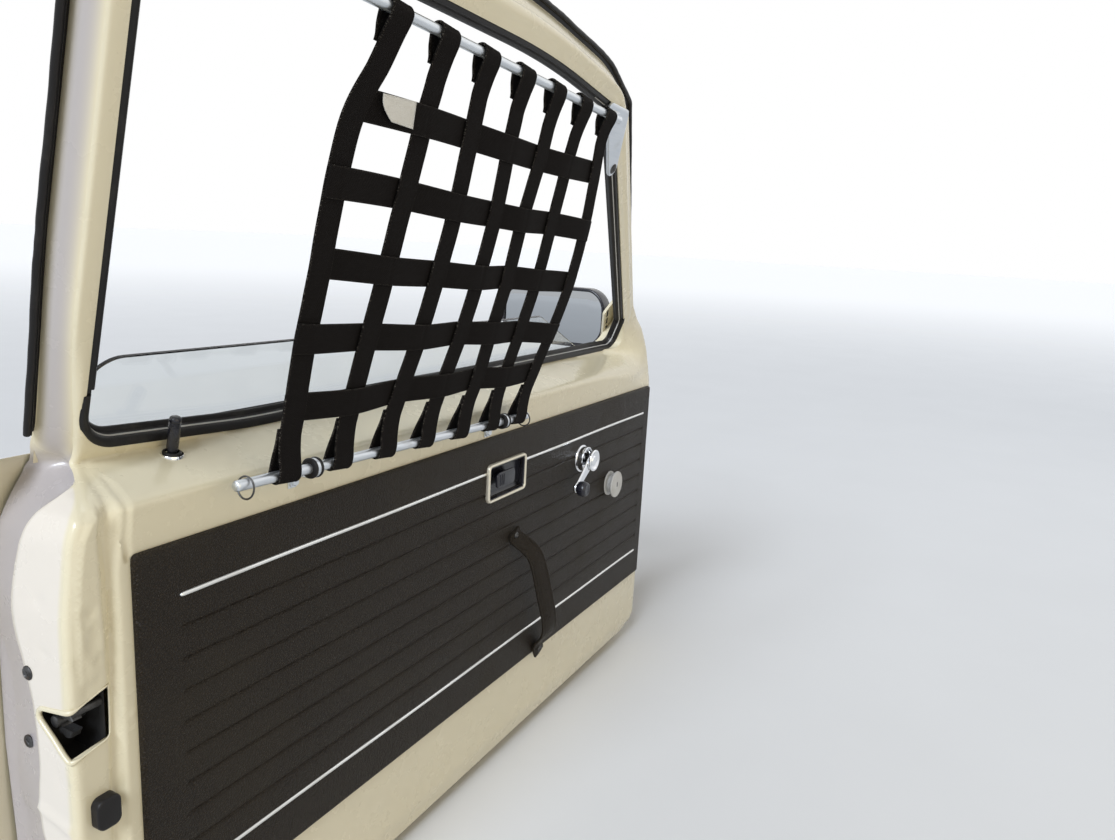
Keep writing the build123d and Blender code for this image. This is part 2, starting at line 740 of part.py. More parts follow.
def rod_clamps():
    """Clips round the lower rod, each with a tail on the panel."""
    clips = []
    for x in CLAMPS:
        centre = NET_PLANE.from_local_coords((x, line_at(LOWER_ROD, x), 0))
        outer = ROD_RADIUS + 3.5
        ring = Pos(centre.Y, centre.Z) * Circle(outer)
        back = SHELL_FACE - FIELD_PROUD
        tail = Pos((centre.Y + back) / 2, centre.Z - outer + 1.5) * Rectangle(back - centre.Y, 3)
        pad = Pos(back - 1.5, centre.Z - outer - 6) * Rectangle(3, 18)
        hole = Pos(centre.Y, centre.Z) * Circle(ROD_RADIUS + CLEAR)
        clips.append(along(ring + tail + pad - hole, x - 5, x + 5))
    return clips


def upper_rod_bracket(x, lugs):
    """Tab that stands on the frame's inner face and carries an end of the upper rod."""
    centre = NET_PLANE.from_local_coords((x, line_at(UPPER_ROD, x), 0))
    local = FRAME_PLANE.to_local_coords(centre)
    outline = (Pos(local.X, local.Y + 8) * Circle(7)).edges()
    for ahead, up in lugs:
        outline += (Pos(local.X + ahead, local.Y + up) * Circle(10)).edges()
    plate = leaned(make_hull(outline), -4, 0)
    post = leaned(Pos(local.X, local.Y) * Circle(8), -local.Z - 3, -4)
    return (plate + post) - rod(UPPER_ROD, CLEAR)


# Mirror and outer handle

def mirror_outline(inset):
    """Outline of the mirror seen along the door, drawn in by inset."""
    outline = RectangleRounded(MIRROR_WIDTH - 2 * inset, MIRROR_HEIGHT - 2 * inset, MIRROR_CORNER - inset)
    return Pos(MIRROR_Y, MIRROR_Z) * outline


def mirror_housing():
    waist = MIRROR_X + MIRROR_RIM
    back = Plane.YZ.offset(waist) * mirror_outline(0)
    shell = along(mirror_outline(0), MIRROR_X, waist)
    shell += extrude(back, amount=MIRROR_DEPTH - MIRROR_RIM, taper=45)
    return shell - along(mirror_outline(MIRROR_WALL), MIRROR_X - 1, MIRROR_X + 8)


def mirror_glass():
    return along(mirror_outline(MIRROR_WALL + CLEAR), MIRROR_X + 4, MIRROR_X + 8)


def mirror_foot():
    """Plate on the frame's front lower corner, with the arm to the housing."""
    corners = [(MIRROR_X - 30, 52, 4), (MIRROR_X + 38, -6, 4), (MIRROR_X + 38, 34, 4), (MIRROR_X, 68, 4)]
    plate = leaned(rounded(corners), FRAME_DEPTH, FRAME_DEPTH + 5)
    inner = MIRROR_Y - MIRROR_WIDTH / 2
    arm = box_between((MIRROR_X + 8, MIRROR_X + 32), (0, inner + 8), (MIRROR_Z - 28, MIRROR_Z - 6))
    outside = leaned(Pos(MIRROR_X, 0) * Rectangle(300, 300), FRAME_DEPTH, 200)
    return plate + (arm & outside) - mirror_housing()


def skin_y(z):
    """Y of the skin's outer face at height z, on the side arc."""
    (y0, z0), (y1, z1), (y2, z2) = SKIN_SIDE, SKIN_BELLY, SKIN_FOOT
    mid = ThreePointArc((y0, z0), (y1, z1), (y2, z2))
    centre, radius = mid.arc_center, mid.radius
    return centre.X + math.sqrt(radius ** 2 - (z - centre.Y) ** 2)


def outer_handle():
    """Pull bar on two feet, drawn in plan and cut to the skin."""
    z = HANDLE_Z
    base = skin_y(z)
    half = HANDLE_LENGTH / 2
    outline = [
        (HANDLE_X - half, base - 12, 1), (HANDLE_X - half + 4, base + HANDLE_STAND - 6, 10),
        (HANDLE_X, base + HANDLE_STAND, 200), (HANDLE_X + half - 4, base + HANDLE_STAND - 6, 10),
        (HANDLE_X + half, base - 12, 1), (HANDLE_X + half - 24, base - 12, 1),
        (HANDLE_X + half - 28, base + HANDLE_STAND - 16, 8),
        (HANDLE_X - half + 28, base + HANDLE_STAND - 16, 8), (HANDLE_X - half + 24, base - 12, 1),
    ]
    bar = extrude(Pos(0, 0, z - HANDLE_HEIGHT / 2) * rounded(outline), amount=HANDLE_HEIGHT)
    return bar - along(side_section(0), -100, 400)


def lock_button():
    base = skin_y(HANDLE_Z)
    x = HANDLE_X - HANDLE_LENGTH / 2 - 26
    return peg(x, HANDLE_Z, 11, base - 12, base + 8) - along(side_section(0), -100, 400)


PAD = Vector(PAD_AHEAD, LEAF_Y - PIN_Y, 0).rotate(Axis.Z, OPEN_ANGLE)
ORIGIN = Vector(PIN_X, PIN_Y, HINGE_Z[0]) + PAD

NODES = {
    "inner_panel": inner_panel(),
    "outer_skin": outer_skin(),
    "window_frame": window_frame(),
    "frame_seal": frame_seal(),
    "window_channel": window_channel(),
    "waist_seal_inner": waist_seal_inner(),
    "waist_seal_outer": waist_seal_outer(),
    "window_glass": window_glass(),
    "trim_card": trim_card(),
    "card_strips": card_strips(),
    "release_bezel": release_bezel(),
    "release_cup": release_cup(),
    "release_lever": release_lever(),
    "winder_handle": winder_handle(),
    "winder_knob": winder_knob(),
    "winder_escutcheon": winder_escutcheon(),
    "disc_knob": disc_knob(),
    "pull_strap": pull_strap(),
    "lock_plunger": lock_plunger(),
    "lock_grommet": lock_grommet(),
    "latch_case": latch_case(),
    "latch_claw": latch_claw(),
    "bump_stop": bump_stop(),
    "hinge_door_leaves": hinge_door_leaves(),
    "hinge_pillar_leaves": hinge_pillar_leaves(),
    "hinge_pins": hinge_pins(),
    "net_rod_lower": rod(LOWER_ROD),
    "net_rod_upper": rod(UPPER_ROD),
    "net_uprights": net_uprights(),
    "net_crosses": net_crosses(),
    "rod_clamps": rod_clamps(),
    "rod_bracket_front": upper_rod_bracket(*FRONT_TAB),
    "rod_bracket_rear": upper_rod_bracket(*REAR_TAB),
    "mirror_housing": mirror_housing(),
    "mirror_glass": mirror_glass(),
    "mirror_foot": mirror_foot(),
    "outer_handle": outer_handle(),
    "lock_button": lock_button(),
}

os.makedirs("parts", exist_ok=True)
for name, shape in NODES.items():
    solids = shape if isinstance(shape, list) else [shape]
    placed = Pos(-ORIGIN.X, -ORIGIN.Y, -ORIGIN.Z) * Compound([s for item in solids for s in item.solids()])
    export_step(placed, f"parts/{name}.step")
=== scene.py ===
"""Left front door of a two-door coupe with a window net, dressed around its packed solids."""

import math

import bmesh
import bpy
import numpy as np
from mathutils import Matrix, Vector
from mathutils.geometry import delaunay_2d_cdt


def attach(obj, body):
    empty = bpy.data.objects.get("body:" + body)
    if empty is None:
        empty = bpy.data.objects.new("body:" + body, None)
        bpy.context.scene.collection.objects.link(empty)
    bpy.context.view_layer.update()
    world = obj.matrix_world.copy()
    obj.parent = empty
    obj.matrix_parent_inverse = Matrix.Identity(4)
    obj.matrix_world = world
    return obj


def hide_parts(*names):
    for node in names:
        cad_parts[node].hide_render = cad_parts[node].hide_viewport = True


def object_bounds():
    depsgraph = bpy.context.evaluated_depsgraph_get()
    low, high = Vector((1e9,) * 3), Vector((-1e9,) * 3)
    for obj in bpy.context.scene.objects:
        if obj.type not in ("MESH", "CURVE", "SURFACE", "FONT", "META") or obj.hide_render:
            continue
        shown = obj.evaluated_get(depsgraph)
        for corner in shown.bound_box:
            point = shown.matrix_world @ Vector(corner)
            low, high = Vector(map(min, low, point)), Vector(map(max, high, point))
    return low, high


bl_info = {
    "name": "Coupe Door with Window Net",
    "version": (1, 0, 0),
    "blender": (4, 5, 0),
    "location": "View3D > Sidebar > Door",
    "description": "Pressings, rubbers, trim, latch, mirror and window net of a coupe's left door",
    "category": "Mesh",
}

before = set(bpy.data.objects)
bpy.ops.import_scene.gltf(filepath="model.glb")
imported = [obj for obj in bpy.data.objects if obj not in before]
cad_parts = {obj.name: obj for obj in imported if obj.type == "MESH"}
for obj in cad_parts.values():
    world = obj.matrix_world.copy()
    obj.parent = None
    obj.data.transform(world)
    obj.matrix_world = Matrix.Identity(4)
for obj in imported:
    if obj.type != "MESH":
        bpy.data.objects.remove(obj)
CAD_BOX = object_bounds()

# The door is laid out in millimetres from the rear upper corner of the trim card: X forward,
# Y outward, Z up. ORIGIN is the upper hinge's pad in that layout.
ORIGIN = np.array((1103.87897, 60.10506, -40.0))
LEAN = math.radians(23.75)
FRAME_FOOT = (50, 80)  # Y and Z where the frame's plane starts
NET_LEAN = math.radians(12.3)
NET_FOOT = (-25, 41)
LEDGE_FOOT, LEDGE_SLOPE = 38, 2.4785
CARD_LENGTH, CARD_HEIGHT = 1030, 345

# Window opening and outer line of the frame, with corners as (along, up, radius) in its plane
OPENING = [(0.5, -7, 36), (-48, 398, 46), (430, 382.5, 1500), (608, 358, 26), (979, 38, 30), (986, -16, 18),
           (170, -19, 700)]
OUTLINE = [(-15, -34, 1), (-40.5, 153, 900), (-69, 436, 92), (400, 421, 1400), (600, 394, 300),
           (694, 360, 26), (1046, 36, 20), (1046, -34, 1)]

# Edge of the pressing's cabin face, with corners as (X, Z, radius)
EDGE = [
    (-50, -466, 70), (-51, -104, 300), (-49.5, -40, 200), (-42, 22, 60), (-36, 35, 14), (-1, 60, 14),
    (-1.5, 74, 30), (-8, 100, 80), (-26, 171, 300), (-64, 470, 84), (400, 457, 1400), (592, 433, 300),
    (659, 406, 24), (994, 142, 40), (1049, 112, 24), (1049, -454, 62),
]

# By height, as (Z, value): X of the shell's rear rim, Y of the step on the shut face, Y of the skin
REAR_LINE = [(-466, -50), (-104, -51), (-40, -51.5), (10, -48), (30, -42), (48, -36), (66, -31)]
SHUT_LINE = [(-470, 46), (-262, 46), (-220, 53), (-193, 54.5), (-166, 50.6), (-141, 50.4), (-109, 53.2),
             (-82, 61), (-56, 69.5), (-33, 71.5), (-12, 69), (2, 66), (23, 59.9), (37, 50), (44, 44.5),
             (52, 42), (90, 30)]
SKIN_LINE = [(-470, 104), (-330, 121), (-180, 129), (-60, 125), (12, 116), (40, 109), (55, 102), (68, 87)]

# Trim and latch: Y of the card's face, then places as (X, Z) or as heights
CARD_FACE = -3.0
PLEATS = [-44.5 - 252.5 / 9 * k for k in range(1, 9)]
RELEASE = (540, -58.5)
RELEASE_WINDOW = (RELEASE[0] - 40, RELEASE[0] + 40, RELEASE[1] - 18, RELEASE[1] + 18)
DISC = (875, -142.5)
HINGE_HEIGHTS = (-40.0, -330.0)
LATCH_Z = -126

# Window net, as (along, up) in its plane. ROWS are the heights of each cross strap at its rear and
# front upright, STRAP_BOW says how far each upright stands ahead of a straight line at BOW_AT.
LOWER_ROD = ((77.0, -1.0), (556.0, -18.0))
UPPER_ROD = ((14.0, 389.0), (609.0, 357.0))
ROD_RADIUS = 4.75
WEBBING = 26.0
PLY = 2.4
STRAP_FEET, STRAP_HEADS = (132.0, 66.0), (172.0, 67.0)  # place of the first, and the step
ROWS = [(308, 291), (246, 222), (181, 156), (120, 93), (59, 43)]
ROW_END = 14.5
BOW_AT = (46, 104, 165, 230, 298, 343)
STRAP_BOW = [
    (-7, -13, -16, -20, -21, -4), (0, 0, 2, 0, 0, 2), (3, 11, 13, 14, 8, 4), (8, 16, 21, 20, 11, 5),
    (9, 12, 14, 10, 9, 5), (5, 11, 15, 9, 5, 4), (12, 28, 34, 29, 12, 0),
]


# Places and lines

def metres(points):
    return (np.asarray(points, float) - ORIGIN) / 1000.0


def on_frame(u, v, n):
    """Points of the window frame's plane: along the door, up the slope, depth outward."""
    u, v, n = np.broadcast_arrays(np.asarray(u, float), v, n)
    s, c = math.sin(LEAN), math.cos(LEAN)
    return np.stack((u, FRAME_FOOT[0] - v * s + n * c, FRAME_FOOT[1] + v * c + n * s), -1)


def along_frame(u, v, n):
    """The same as a direction."""
    return on_frame(u, v, n) - on_frame(0, 0, 0)


def on_net(a, b, c):
    """Points of the net's plane: along the door, up the net, depth into the cabin."""
    a, b, c = np.broadcast_arrays(np.asarray(a, float), b, c)
    s, k = math.sin(NET_LEAN), math.cos(NET_LEAN)
    return np.stack((a, NET_FOOT[0] - b * s - c * k, NET_FOOT[1] + b * k - c * s), -1)


def along_net(a, b, c):
    return on_net(a, b, c) - on_net(0, 0, 0)


def unit_rows(rows):
    return rows / np.linalg.norm(rows, axis=1)[:, None]


def heading(path):
    """Unit direction of a path at each of its points."""
    return unit_rows(np.gradient(path, axis=0))


def turns(count):
    """Angles of a full circle, without its end."""
    return np.linspace(0, 2 * math.pi, count + 1)[:-1]


def ease(t):
    t = np.clip(t, 0, 1)
    return t * t * (3 - 2 * t)


def soft_max(a, b, width):
    """Greater of two heights, rounded over about width where they meet."""
    share = np.clip(0.5 + 0.5 * (a - b) / width, 0, 1)
    return b + (a - b) * share + width * share * (1 - share)


def soft_min(a, b, width):
    return -soft_max(-a, -b, width)


def rounded_loop(corners, step, arc_step=None):
    """Closed line round (x, y, radius) corners, with points about step apart."""
    pts = np.array([c[:2] for c in corners], float)
    n = len(pts)
    line = []
    for i, (_, _, radius) in enumerate(corners):
        here, back, ahead = pts[i], pts[i - 1], pts[(i + 1) % n]
        into, out = here - back, ahead - here
        into, out = into / np.linalg.norm(into), out / np.linalg.norm(out)
        turn = math.acos(np.clip(into @ out, -1, 1))
        cut = radius * math.tan(turn / 2)
        start = here - into * cut
        side = np.array((-into[1], into[0])) * (1 if into[0] * out[1] - into[1] * out[0] > 0 else -1)
        centre = start + side * radius
        count = max(2, int(radius * turn / (arc_step or step)) + 1)
        a0 = math.atan2(*(start - centre)[::-1])
        sweep_angle = turn if into[0] * out[1] - into[1] * out[0] > 0 else -turn
        for k in range(count + 1):
            a = a0 + sweep_angle * k / count
            line.append(centre + radius * np.array((math.cos(a), math.sin(a))))
    return evenly(np.array(line), step, True)


def evenly(line, step, closed):
    """The same line with its long runs divided."""
    ends = np.roll(line, -1, 0) if closed else line[1:]
    made = []
    for a, b in zip(line, ends):
        length = np.linalg.norm(b - a)
        if length < 1e-6:
            continue
        count = max(1, int(round(length / step)))
        made += [a + (b - a) * k / count for k in range(count)]
    if not closed:
        made.append(line[-1])
    return np.array(made)


def smooth_line(points, step):
    """Catmull-Rom line through points."""
    p = np.array(points, float)
    p = np.vstack((2 * p[0] - p[1], p, 2 * p[-1] - p[-2]))
    made = []
    for i in range(1, len(p) - 2):
        count = max(2, int(np.linalg.norm(p[i + 1] - p[i]) / step))
        for t in np.arange(count) / count:
            made.append(0.5 * (2 * p[i] + (p[i + 1] - p[i - 1]) * t
                               + (2 * p[i - 1] - 5 * p[i] + 4 * p[i + 1] - p[i + 2]) * t * t
                               + (3 * p[i] - p[i - 1] - 3 * p[i + 1] + p[i + 2]) * t ** 3))
    made.append(p[-2])
    return np.array(made)


def from_line(points, line, closed=False):
    """Distance of each point from a line."""
    ends = np.roll(line, -1, 0) if closed else line[1:]
    starts = line if closed else line[:-1]
    best = np.full(len(points), 1e9)
    for k in range(0, len(starts), 40):
        a, b = starts[None, k:k + 40], ends[None, k:k + 40]
        d = b - a
        t = np.clip(((points[:, None] - a) * d).sum(-1) / np.maximum((d * d).sum(-1), 1e-12), 0, 1)
        best = np.minimum(best, np.linalg.norm(points[:, None] - a - d * t[..., None], axis=-1).min(1))
    return best


def onto_line(points, line):
    """Nearest point of a closed line to each point."""
    a, b = line[None], np.roll(line, -1, 0)[None]
    d = b - a
    t = np.clip(((points[:, None] - a) * d).sum(-1) / np.maximum((d * d).sum(-1), 1e-12), 0, 1)
    spots = a + d * t[..., None]
    pick = np.linalg.norm(points[:, None] - spots, axis=-1).argmin(1)
    return spots[np.arange(len(points)), pick]


def within(points, loop):
    """Which points lie inside a closed line."""
    inside = np.zeros(len(points), bool)
    x, y = points[:, 0], points[:, 1]
    for (x0, y0), (x1, y1) in zip(loop, np.roll(loop, -1, 0)):
        if y0 != y1:
            inside ^= ((y0 > y) != (y1 > y)) & (x < (x1 - x0) * (y - y0) / (y1 - y0) + x0)
    return inside


def loop_sides(line):
    """Unit normals to the left of a closed plane line."""
    d = unit_rows(np.roll(line, -1, 0) - np.roll(line, 1, 0))
    return np.stack((-d[:, 1], d[:, 0]), 1)


# Meshes

def make(name, verts, faces, material, smooth, flip=None, clean=True):
    """Piece from points in millimetres of the layout. flip is a direction that faces turn away from."""
    mesh = bpy.data.meshes.new(name)
    mesh.from_pydata(metres(verts).tolist(), [], [list(map(int, f)) for f in faces])
    obj = bpy.data.objects.new(name, mesh)
    bpy.context.scene.collection.objects.link(obj)
    bm = bmesh.new()
    bm.from_mesh(mesh)
    if clean:
        bmesh.ops.remove_doubles(bm, verts=bm.verts, dist=2e-6)
    bmesh.ops.recalc_face_normals(bm, faces=bm.faces)
    if flip is not None:
        total = sum((f.normal * f.calc_area() for f in bm.faces), Vector())
        if total.dot(Vector(flip)) > 0:
            bmesh.ops.reverse_faces(bm, faces=bm.faces)
    bm.to_mesh(mesh)
    bm.free()
    mesh.materials.append(material)
    shade(obj, smooth)
    return obj


def shade(obj, angle):
    obj.data.shade_smooth()
    if angle < 180:
        obj.data.set_sharp_from_angle(angle=math.radians(angle))


def place(obj, body, slot, *nodes):
    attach(obj, body)
    if nodes:
        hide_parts(*nodes)


def grid_faces(rows, cols, wrap_rows=False, wrap_cols=False):
    """Quads of a grid of rows x cols points."""
    faces = []
    for i in range(rows if wrap_rows else rows - 1):
        for j in range(cols if wrap_cols else cols - 1):
            i2, j2 = (i + 1) % rows, (j + 1) % cols
            faces.append((i * cols + j, i * cols + j2, i2 * cols + j2, i2 * cols + j))
    return faces


class Stack:
    """Collects parts of one mesh."""

    def __init__(self):
        self.verts, self.faces, self.uvs, self.count = [], [], [], 0

    def add(self, verts, faces, uv=None):
        verts = np.asarray(verts, float).reshape(-1, 3)
        self.faces += [tuple(self.count + i for i in f) for f in faces]
        self.verts.append(verts)
        self.uvs.append(np.zeros((len(verts), 2)) if uv is None else np.asarray(uv, float).reshape(-1, 2))
        self.count += len(verts)

    def sweep(self, path, sides, ups, profile, closed=False, uv=False):
        """Carry a closed profile of (side, up) points along a path."""
        profile = np.asarray(profile, float)
        grid = path[:, None] + profile[None, :, :1] * sides[:, None] + profile[None, :, 1:] * ups[:, None]
        rows, cols = len(path), len(profile)
        faces = grid_faces(rows, cols, closed, True)
        if not closed:
            faces += [tuple(range(cols)), tuple((rows - 1) * cols + k for k in reversed(range(cols)))]
        marks = None
        if uv:
            run = np.concatenate(([0], np.cumsum(np.linalg.norm(np.diff(path, axis=0), axis=1))))
            marks = np.stack(np.broadcast_arrays(profile[None, :, 0], run[:, None]), -1)
        self.add(grid, faces, marks)

    def ring_bar(self, path, radius):
        """Round bar along a closed path, with a radius for each of its points."""
        way = np.roll(path, -1, 0) - np.roll(path, 1, 0)
        side = unit_rows(np.cross(way, (0.6, 0.7, 0.25)))
        up = unit_rows(np.cross(side, way))
        size, round_profile = radius[:, None], np.stack((np.cos(turns(8)), np.sin(turns(8))), 1)
        self.sweep(path, side * size, up * size, round_profile, closed=True)

    def loft(self, rows, first=True, last=True):
        """Join closed rings of points in turn and close the ends."""
        rows = np.asarray(rows, float)
        count, cols = rows.shape[:2]
        faces = grid_faces(count, cols, False, True)
        end = tuple(range((count - 1) * cols, count * cols))
        # with both ends closed, the last one runs the other way round
        if first:
            faces.append(tuple(range(cols)))
            end = end[::-1]
        self.add(rows, faces + [end] * last)

    def lathe(self, centre, axis, profile, segments):
        """Turn (radius, along) points about an axis through centre."""
        axis = np.asarray(axis, float) / np.linalg.norm(axis)
        across = np.cross(axis, (0, 0, 1) if abs(axis[2]) < 0.9 else (1, 0, 0))
        across /= np.linalg.norm(across)
        other = np.cross(axis, across)
        a = np.arange(segments) * 2 * math.pi / segments
        ring = np.cos(a)[:, None] * across + np.sin(a)[:, None] * other
        grid = np.array([np.asarray(centre) + axis * h + ring * max(r, 0.001) for r, h in profile])
        self.add(grid, grid_faces(len(profile), segments, False, True))
        self.faces += [tuple(self.count - len(profile) * segments + k for k in range(segments)),
                       tuple(self.count - 1 - k for k in range(segments))]

    def make(self, name, material, smooth, **more):
        return make(name, np.vstack(self.verts), self.faces, material, smooth, **more)

    def piece(self, name, look, slot, *nodes, smooth=50):
        """Make the stack a piece of the door."""
        place(self.make(name, finish(look), smooth), "door", slot, *nodes)

    def webbing(self, name, node):
        """Straps that keep their own marks as a UV map in metres."""
        obj = self.make(name, finish("webbing"), 60, clean=False)
        layer = obj.data.uv_layers.new(name="UVMap")
        marks = np.vstack(self.uvs) / 1000.0
        picked = np.zeros(len(obj.data.loops), np.int32)
        obj.data.loops.foreach_get("vertex_index", picked)
        layer.data.foreach_set("uv", marks[picked].astype(np.float32).ravel())
        place(obj, "door", "black_webbing", node)


def rounded_box(width, height, radius, steps):
    """Closed profile of a box with rounded corners, centred."""
    made = []
    for cx, cy, a0 in ((1, 1, 0), (-1, 1, 90), (-1, -1, 180), (1, -1, 270)):
        for k in range(steps + 1):
            a = math.radians(a0 + 90 * k / steps)
            x = cx * (width / 2 - radius) + radius * math.cos(a)
            made.append((x, cy * (height / 2 - radius) + radius * math.sin(a)))
    return np.array(made)


def plate(stack, outline, inner_y, outer_y, edge, steps=3):
    """Plate in the X-Z plane whose cabin-side edge is rounded. outline is (x, z)."""
    side = loop_sides(outline)
    if ((outline - outline.mean(0)) * side).sum() > 0:
        side = -side
    rows = [np.insert(outline, 1, outer_y, axis=1)]
    for a in math.pi / 2 * np.arange(steps + 1) / steps:
        shrunk = outline + side * edge * (1 - math.cos(a))
        rows.append(np.insert(shrunk, 1, inner_y + edge * (1 - math.sin(a)), axis=1))
    stack.loft(rows)


def mirrored(points):
    """Mirror image in X of (x, y) points, back to front."""
    return [(-x, y) for x, y in reversed(points)]


def press(height, a, b, dents, share=1):
    """Press round dents into a height over places a, b. Each is (a, b, size, depth)."""
    for ca, cb, size, deep in dents:
        height += share * deep * np.exp(-(((a - ca) ** 2 + (b - cb) ** 2) / size ** 2))


# Shader writing

class Wire:
    """A shader socket that takes part in Python arithmetic."""

    def __init__(self, finish, socket):
        self.finish, self.socket = finish, socket

    def _maths(self, operation, a, b):
        return self.finish.node("ShaderNodeMath", {"operation": operation}, {0: a, 1: b})

    def __add__(self, other):
        return self._maths("ADD", self, other)

    def __sub__(self, other):
        return self._maths("SUBTRACT", self, other)

    def __rsub__(self, other):
        return self._maths("SUBTRACT", other, self)

    def __mul__(self, other):
        return self._maths("MULTIPLY", self, other)

    def __gt__(self, other):
        return self._maths("GREATER_THAN", self, other)

    __radd__ = __add__

    def abs(self):
        return self._maths("ABSOLUTE", self, 0.0)

    def sine(self):
        return self._maths("SINE", self, 0.0)

    def ease(self, low, high):
        return self.finish.node("ShaderNodeMapRange", {"interpolation_type": "SMOOTHSTEP"},
                                {0: self, 1: low, 2: high})


class Finish:
    """One material's node tree around a Principled shader."""

    def __init__(self, name, **constants):
        self.material = bpy.data.materials.new(name)
        self.material.use_nodes = True
        self.tree = self.material.node_tree
        self.tree.nodes.clear()
        self.shader = self.tree.nodes.new("ShaderNodeBsdfPrincipled")
        out = self.tree.nodes.new("ShaderNodeOutputMaterial")
        self.tree.links.new(self.shader.outputs[0], out.inputs[0])
        for socket, value in constants.items():
            self.shader.inputs[socket.replace("_", " ").title().replace("Ior", "IOR")].default_value = value

    def node(self, kind, settings=None, sockets=None, output=0):
        made = self.tree.nodes.new(kind)
        for key, value in (settings or {}).items():
            if key == "stops":
                ramp = made.color_ramp.elements
                while len(ramp) < len(value):
                    ramp.new(0.5)
                for stop, (spot, colour) in zip(ramp, value):
                    stop.position, stop.color = spot, (*colour, 1)
            else:
                setattr(made, key, value)
        for key, value in (sockets or {}).items():
            if isinstance(value, Wire):
                self.tree.links.new(value.socket, made.inputs[key])
            elif value is not None:
                made.inputs[key].default_value = value
        return Wire(self, made.outputs[output])

    def coords(self):
        return self.node("ShaderNodeTexCoord", output=3)

    def noise(self, scale, detail, vector=None, roughness=0.5):
        sockets = {"Vector": vector or self.coords(), "Scale": scale, "Detail": detail,
                   "Roughness": roughness}
        return self.node("ShaderNodeTexNoise", {}, sockets)

    def cells(self, scale, feature, randomness=1.0):
        sockets = {"Vector": self.coords(), "Scale": scale, "Randomness": randomness}
        return self.node("ShaderNodeTexVoronoi", {"feature": feature}, sockets)

    def mix(self, share, a, b):
        a, b = [(*c, 1) if isinstance(c, tuple) and len(c) == 3 else c for c in (a, b)]
        return self.node("ShaderNodeMix", {"data_type": "RGBA"}, {0: share, 6: a, 7: b}, 2)

    def stretched(self, x, y, z):
        return self.node("ShaderNodeMapping", {}, {"Vector": self.coords(), "Scale": (x, y, z)})

    def part(self, vector, axis):
        return self.node("ShaderNodeSeparateXYZ", {}, {0: vector}, axis)

    def feed(self, socket, value):
        if isinstance(value, Wire):
            self.tree.links.new(value.socket, self.shader.inputs[socket])
        else:
            self.shader.inputs[socket].default_value = (*value, 1) if isinstance(value, tuple) else value

    def done(self, colour, roughness, metallic=None, coat=None, height=None, depth=0.0002):
        """Feed the shader. height is a bump, depth its size in metres."""
        for socket, value in (("Base Color", colour), ("Roughness", roughness), ("Metallic", metallic),
                              ("Coat Weight", coat)):
            if value is not None:
                self.feed(socket, value)
        if height is not None:
            sockets = {"Height": height, "Distance": depth, "Strength": 1.0}
            self.feed("Normal", self.node("ShaderNodeBump", {}, sockets))
        return self.material


MATERIALS = {}


def finish(name):
    """The named material, written the first time it is asked for."""
    if name not in MATERIALS:
        MATERIALS[name] = WRITERS[name](bpy.context.scene.door_colours)
    return MATERIALS[name]


def write_paint(colours):
    f = Finish("ivory_paint", coat_weight=0.4, coat_roughness=0.08, specular_ior_level=0.5)
    cloud = f.noise(3.5, 4.0)
    film = f.noise(16.0, 5.0, roughness=0.6).ease(0.42, 0.82)
    # This attribute holds painted light and shade of the shut face: above zero, painted shade on the recess
    # and the post's rear side; below zero, painted sunlight on the pad.
    grime = f.node("ShaderNodeAttribute", {"attribute_name": "grime"}, output=2)
    warm = tuple(c * k for c, k in zip(colours.paint, (0.955, 0.95, 0.925)))
    tone = f.mix(cloud.ease(0.35, 0.65) * 0.6, tuple(colours.paint), warm)
    tone = f.mix(film * 0.08, tone, (0.50, 0.44, 0.33))
    # Painted shade: grey-lilac where the attribute is above zero.
    tone = f.mix(grime.ease(0.0, 1.0) * 0.85, tone, (0.40, 0.37, 0.40))
    # Painted sunlight: whiter where the attribute is below zero.
    tone = f.mix((grime * -1.0).ease(0.0, 1.0) * 0.85, tone, (0.775, 0.71, 0.63))
    peel = f.noise(300.0, 1.0)
    return f.done(tone, 0.26 + film * 0.08, height=peel, depth=0.000012)


def write_skin_paint(colours):
    f = Finish("outer_paint", coat_roughness=0.04)
    cloud = f.noise(2.6, 3.0)
    tone = f.mix(cloud, tuple(colours.paint), tuple(c * 0.96 for c in colours.paint))
    return f.done(tone, 0.2 + f.noise(60.0, 4.0) * 0.06, coat=0.8, height=f.noise(420.0, 1.0),
                  depth=0.00003)


def write_vinyl(colours):
    f = Finish("black_vinyl", specular_ior_level=0.17)
    warp = f.noise(90.0, 2.0)
    grain = f.cells(430.0, "DISTANCE_TO_EDGE")
    coarse = f.cells(190.0, "F1")
    pores = f.noise(900.0, 2.0)
    wear = f.noise(9.0, 4.0).ease(0.45, 0.7)
    tone = f.mix(grain.ease(0.0, 0.25), tuple(c * 0.45 for c in colours.vinyl), tuple(colours.vinyl))
    tone = f.mix(wear * 0.25, tone, (0.042, 0.035, 0.024))
    height = grain.ease(0.0, 0.3) + coarse * 0.35 + pores * 0.25 + warp * 0.5
    return f.done(tone, 0.34 + wear * 0.10 + pores * 0.12, height=height, depth=0.0006)


def write_rubber(colours):
    f = Finish("black_rubber", specular_ior_level=0.24)
    dust = f.noise(26.0, 5.0, roughness=0.65).ease(0.5, 0.8)
    tone = f.mix(dust * 0.35, tuple(colours.rubber), (0.085, 0.08, 0.07))
    return f.done(tone, 0.42 + dust * 0.25, height=f.noise(700.0, 3.0), depth=0.00012)


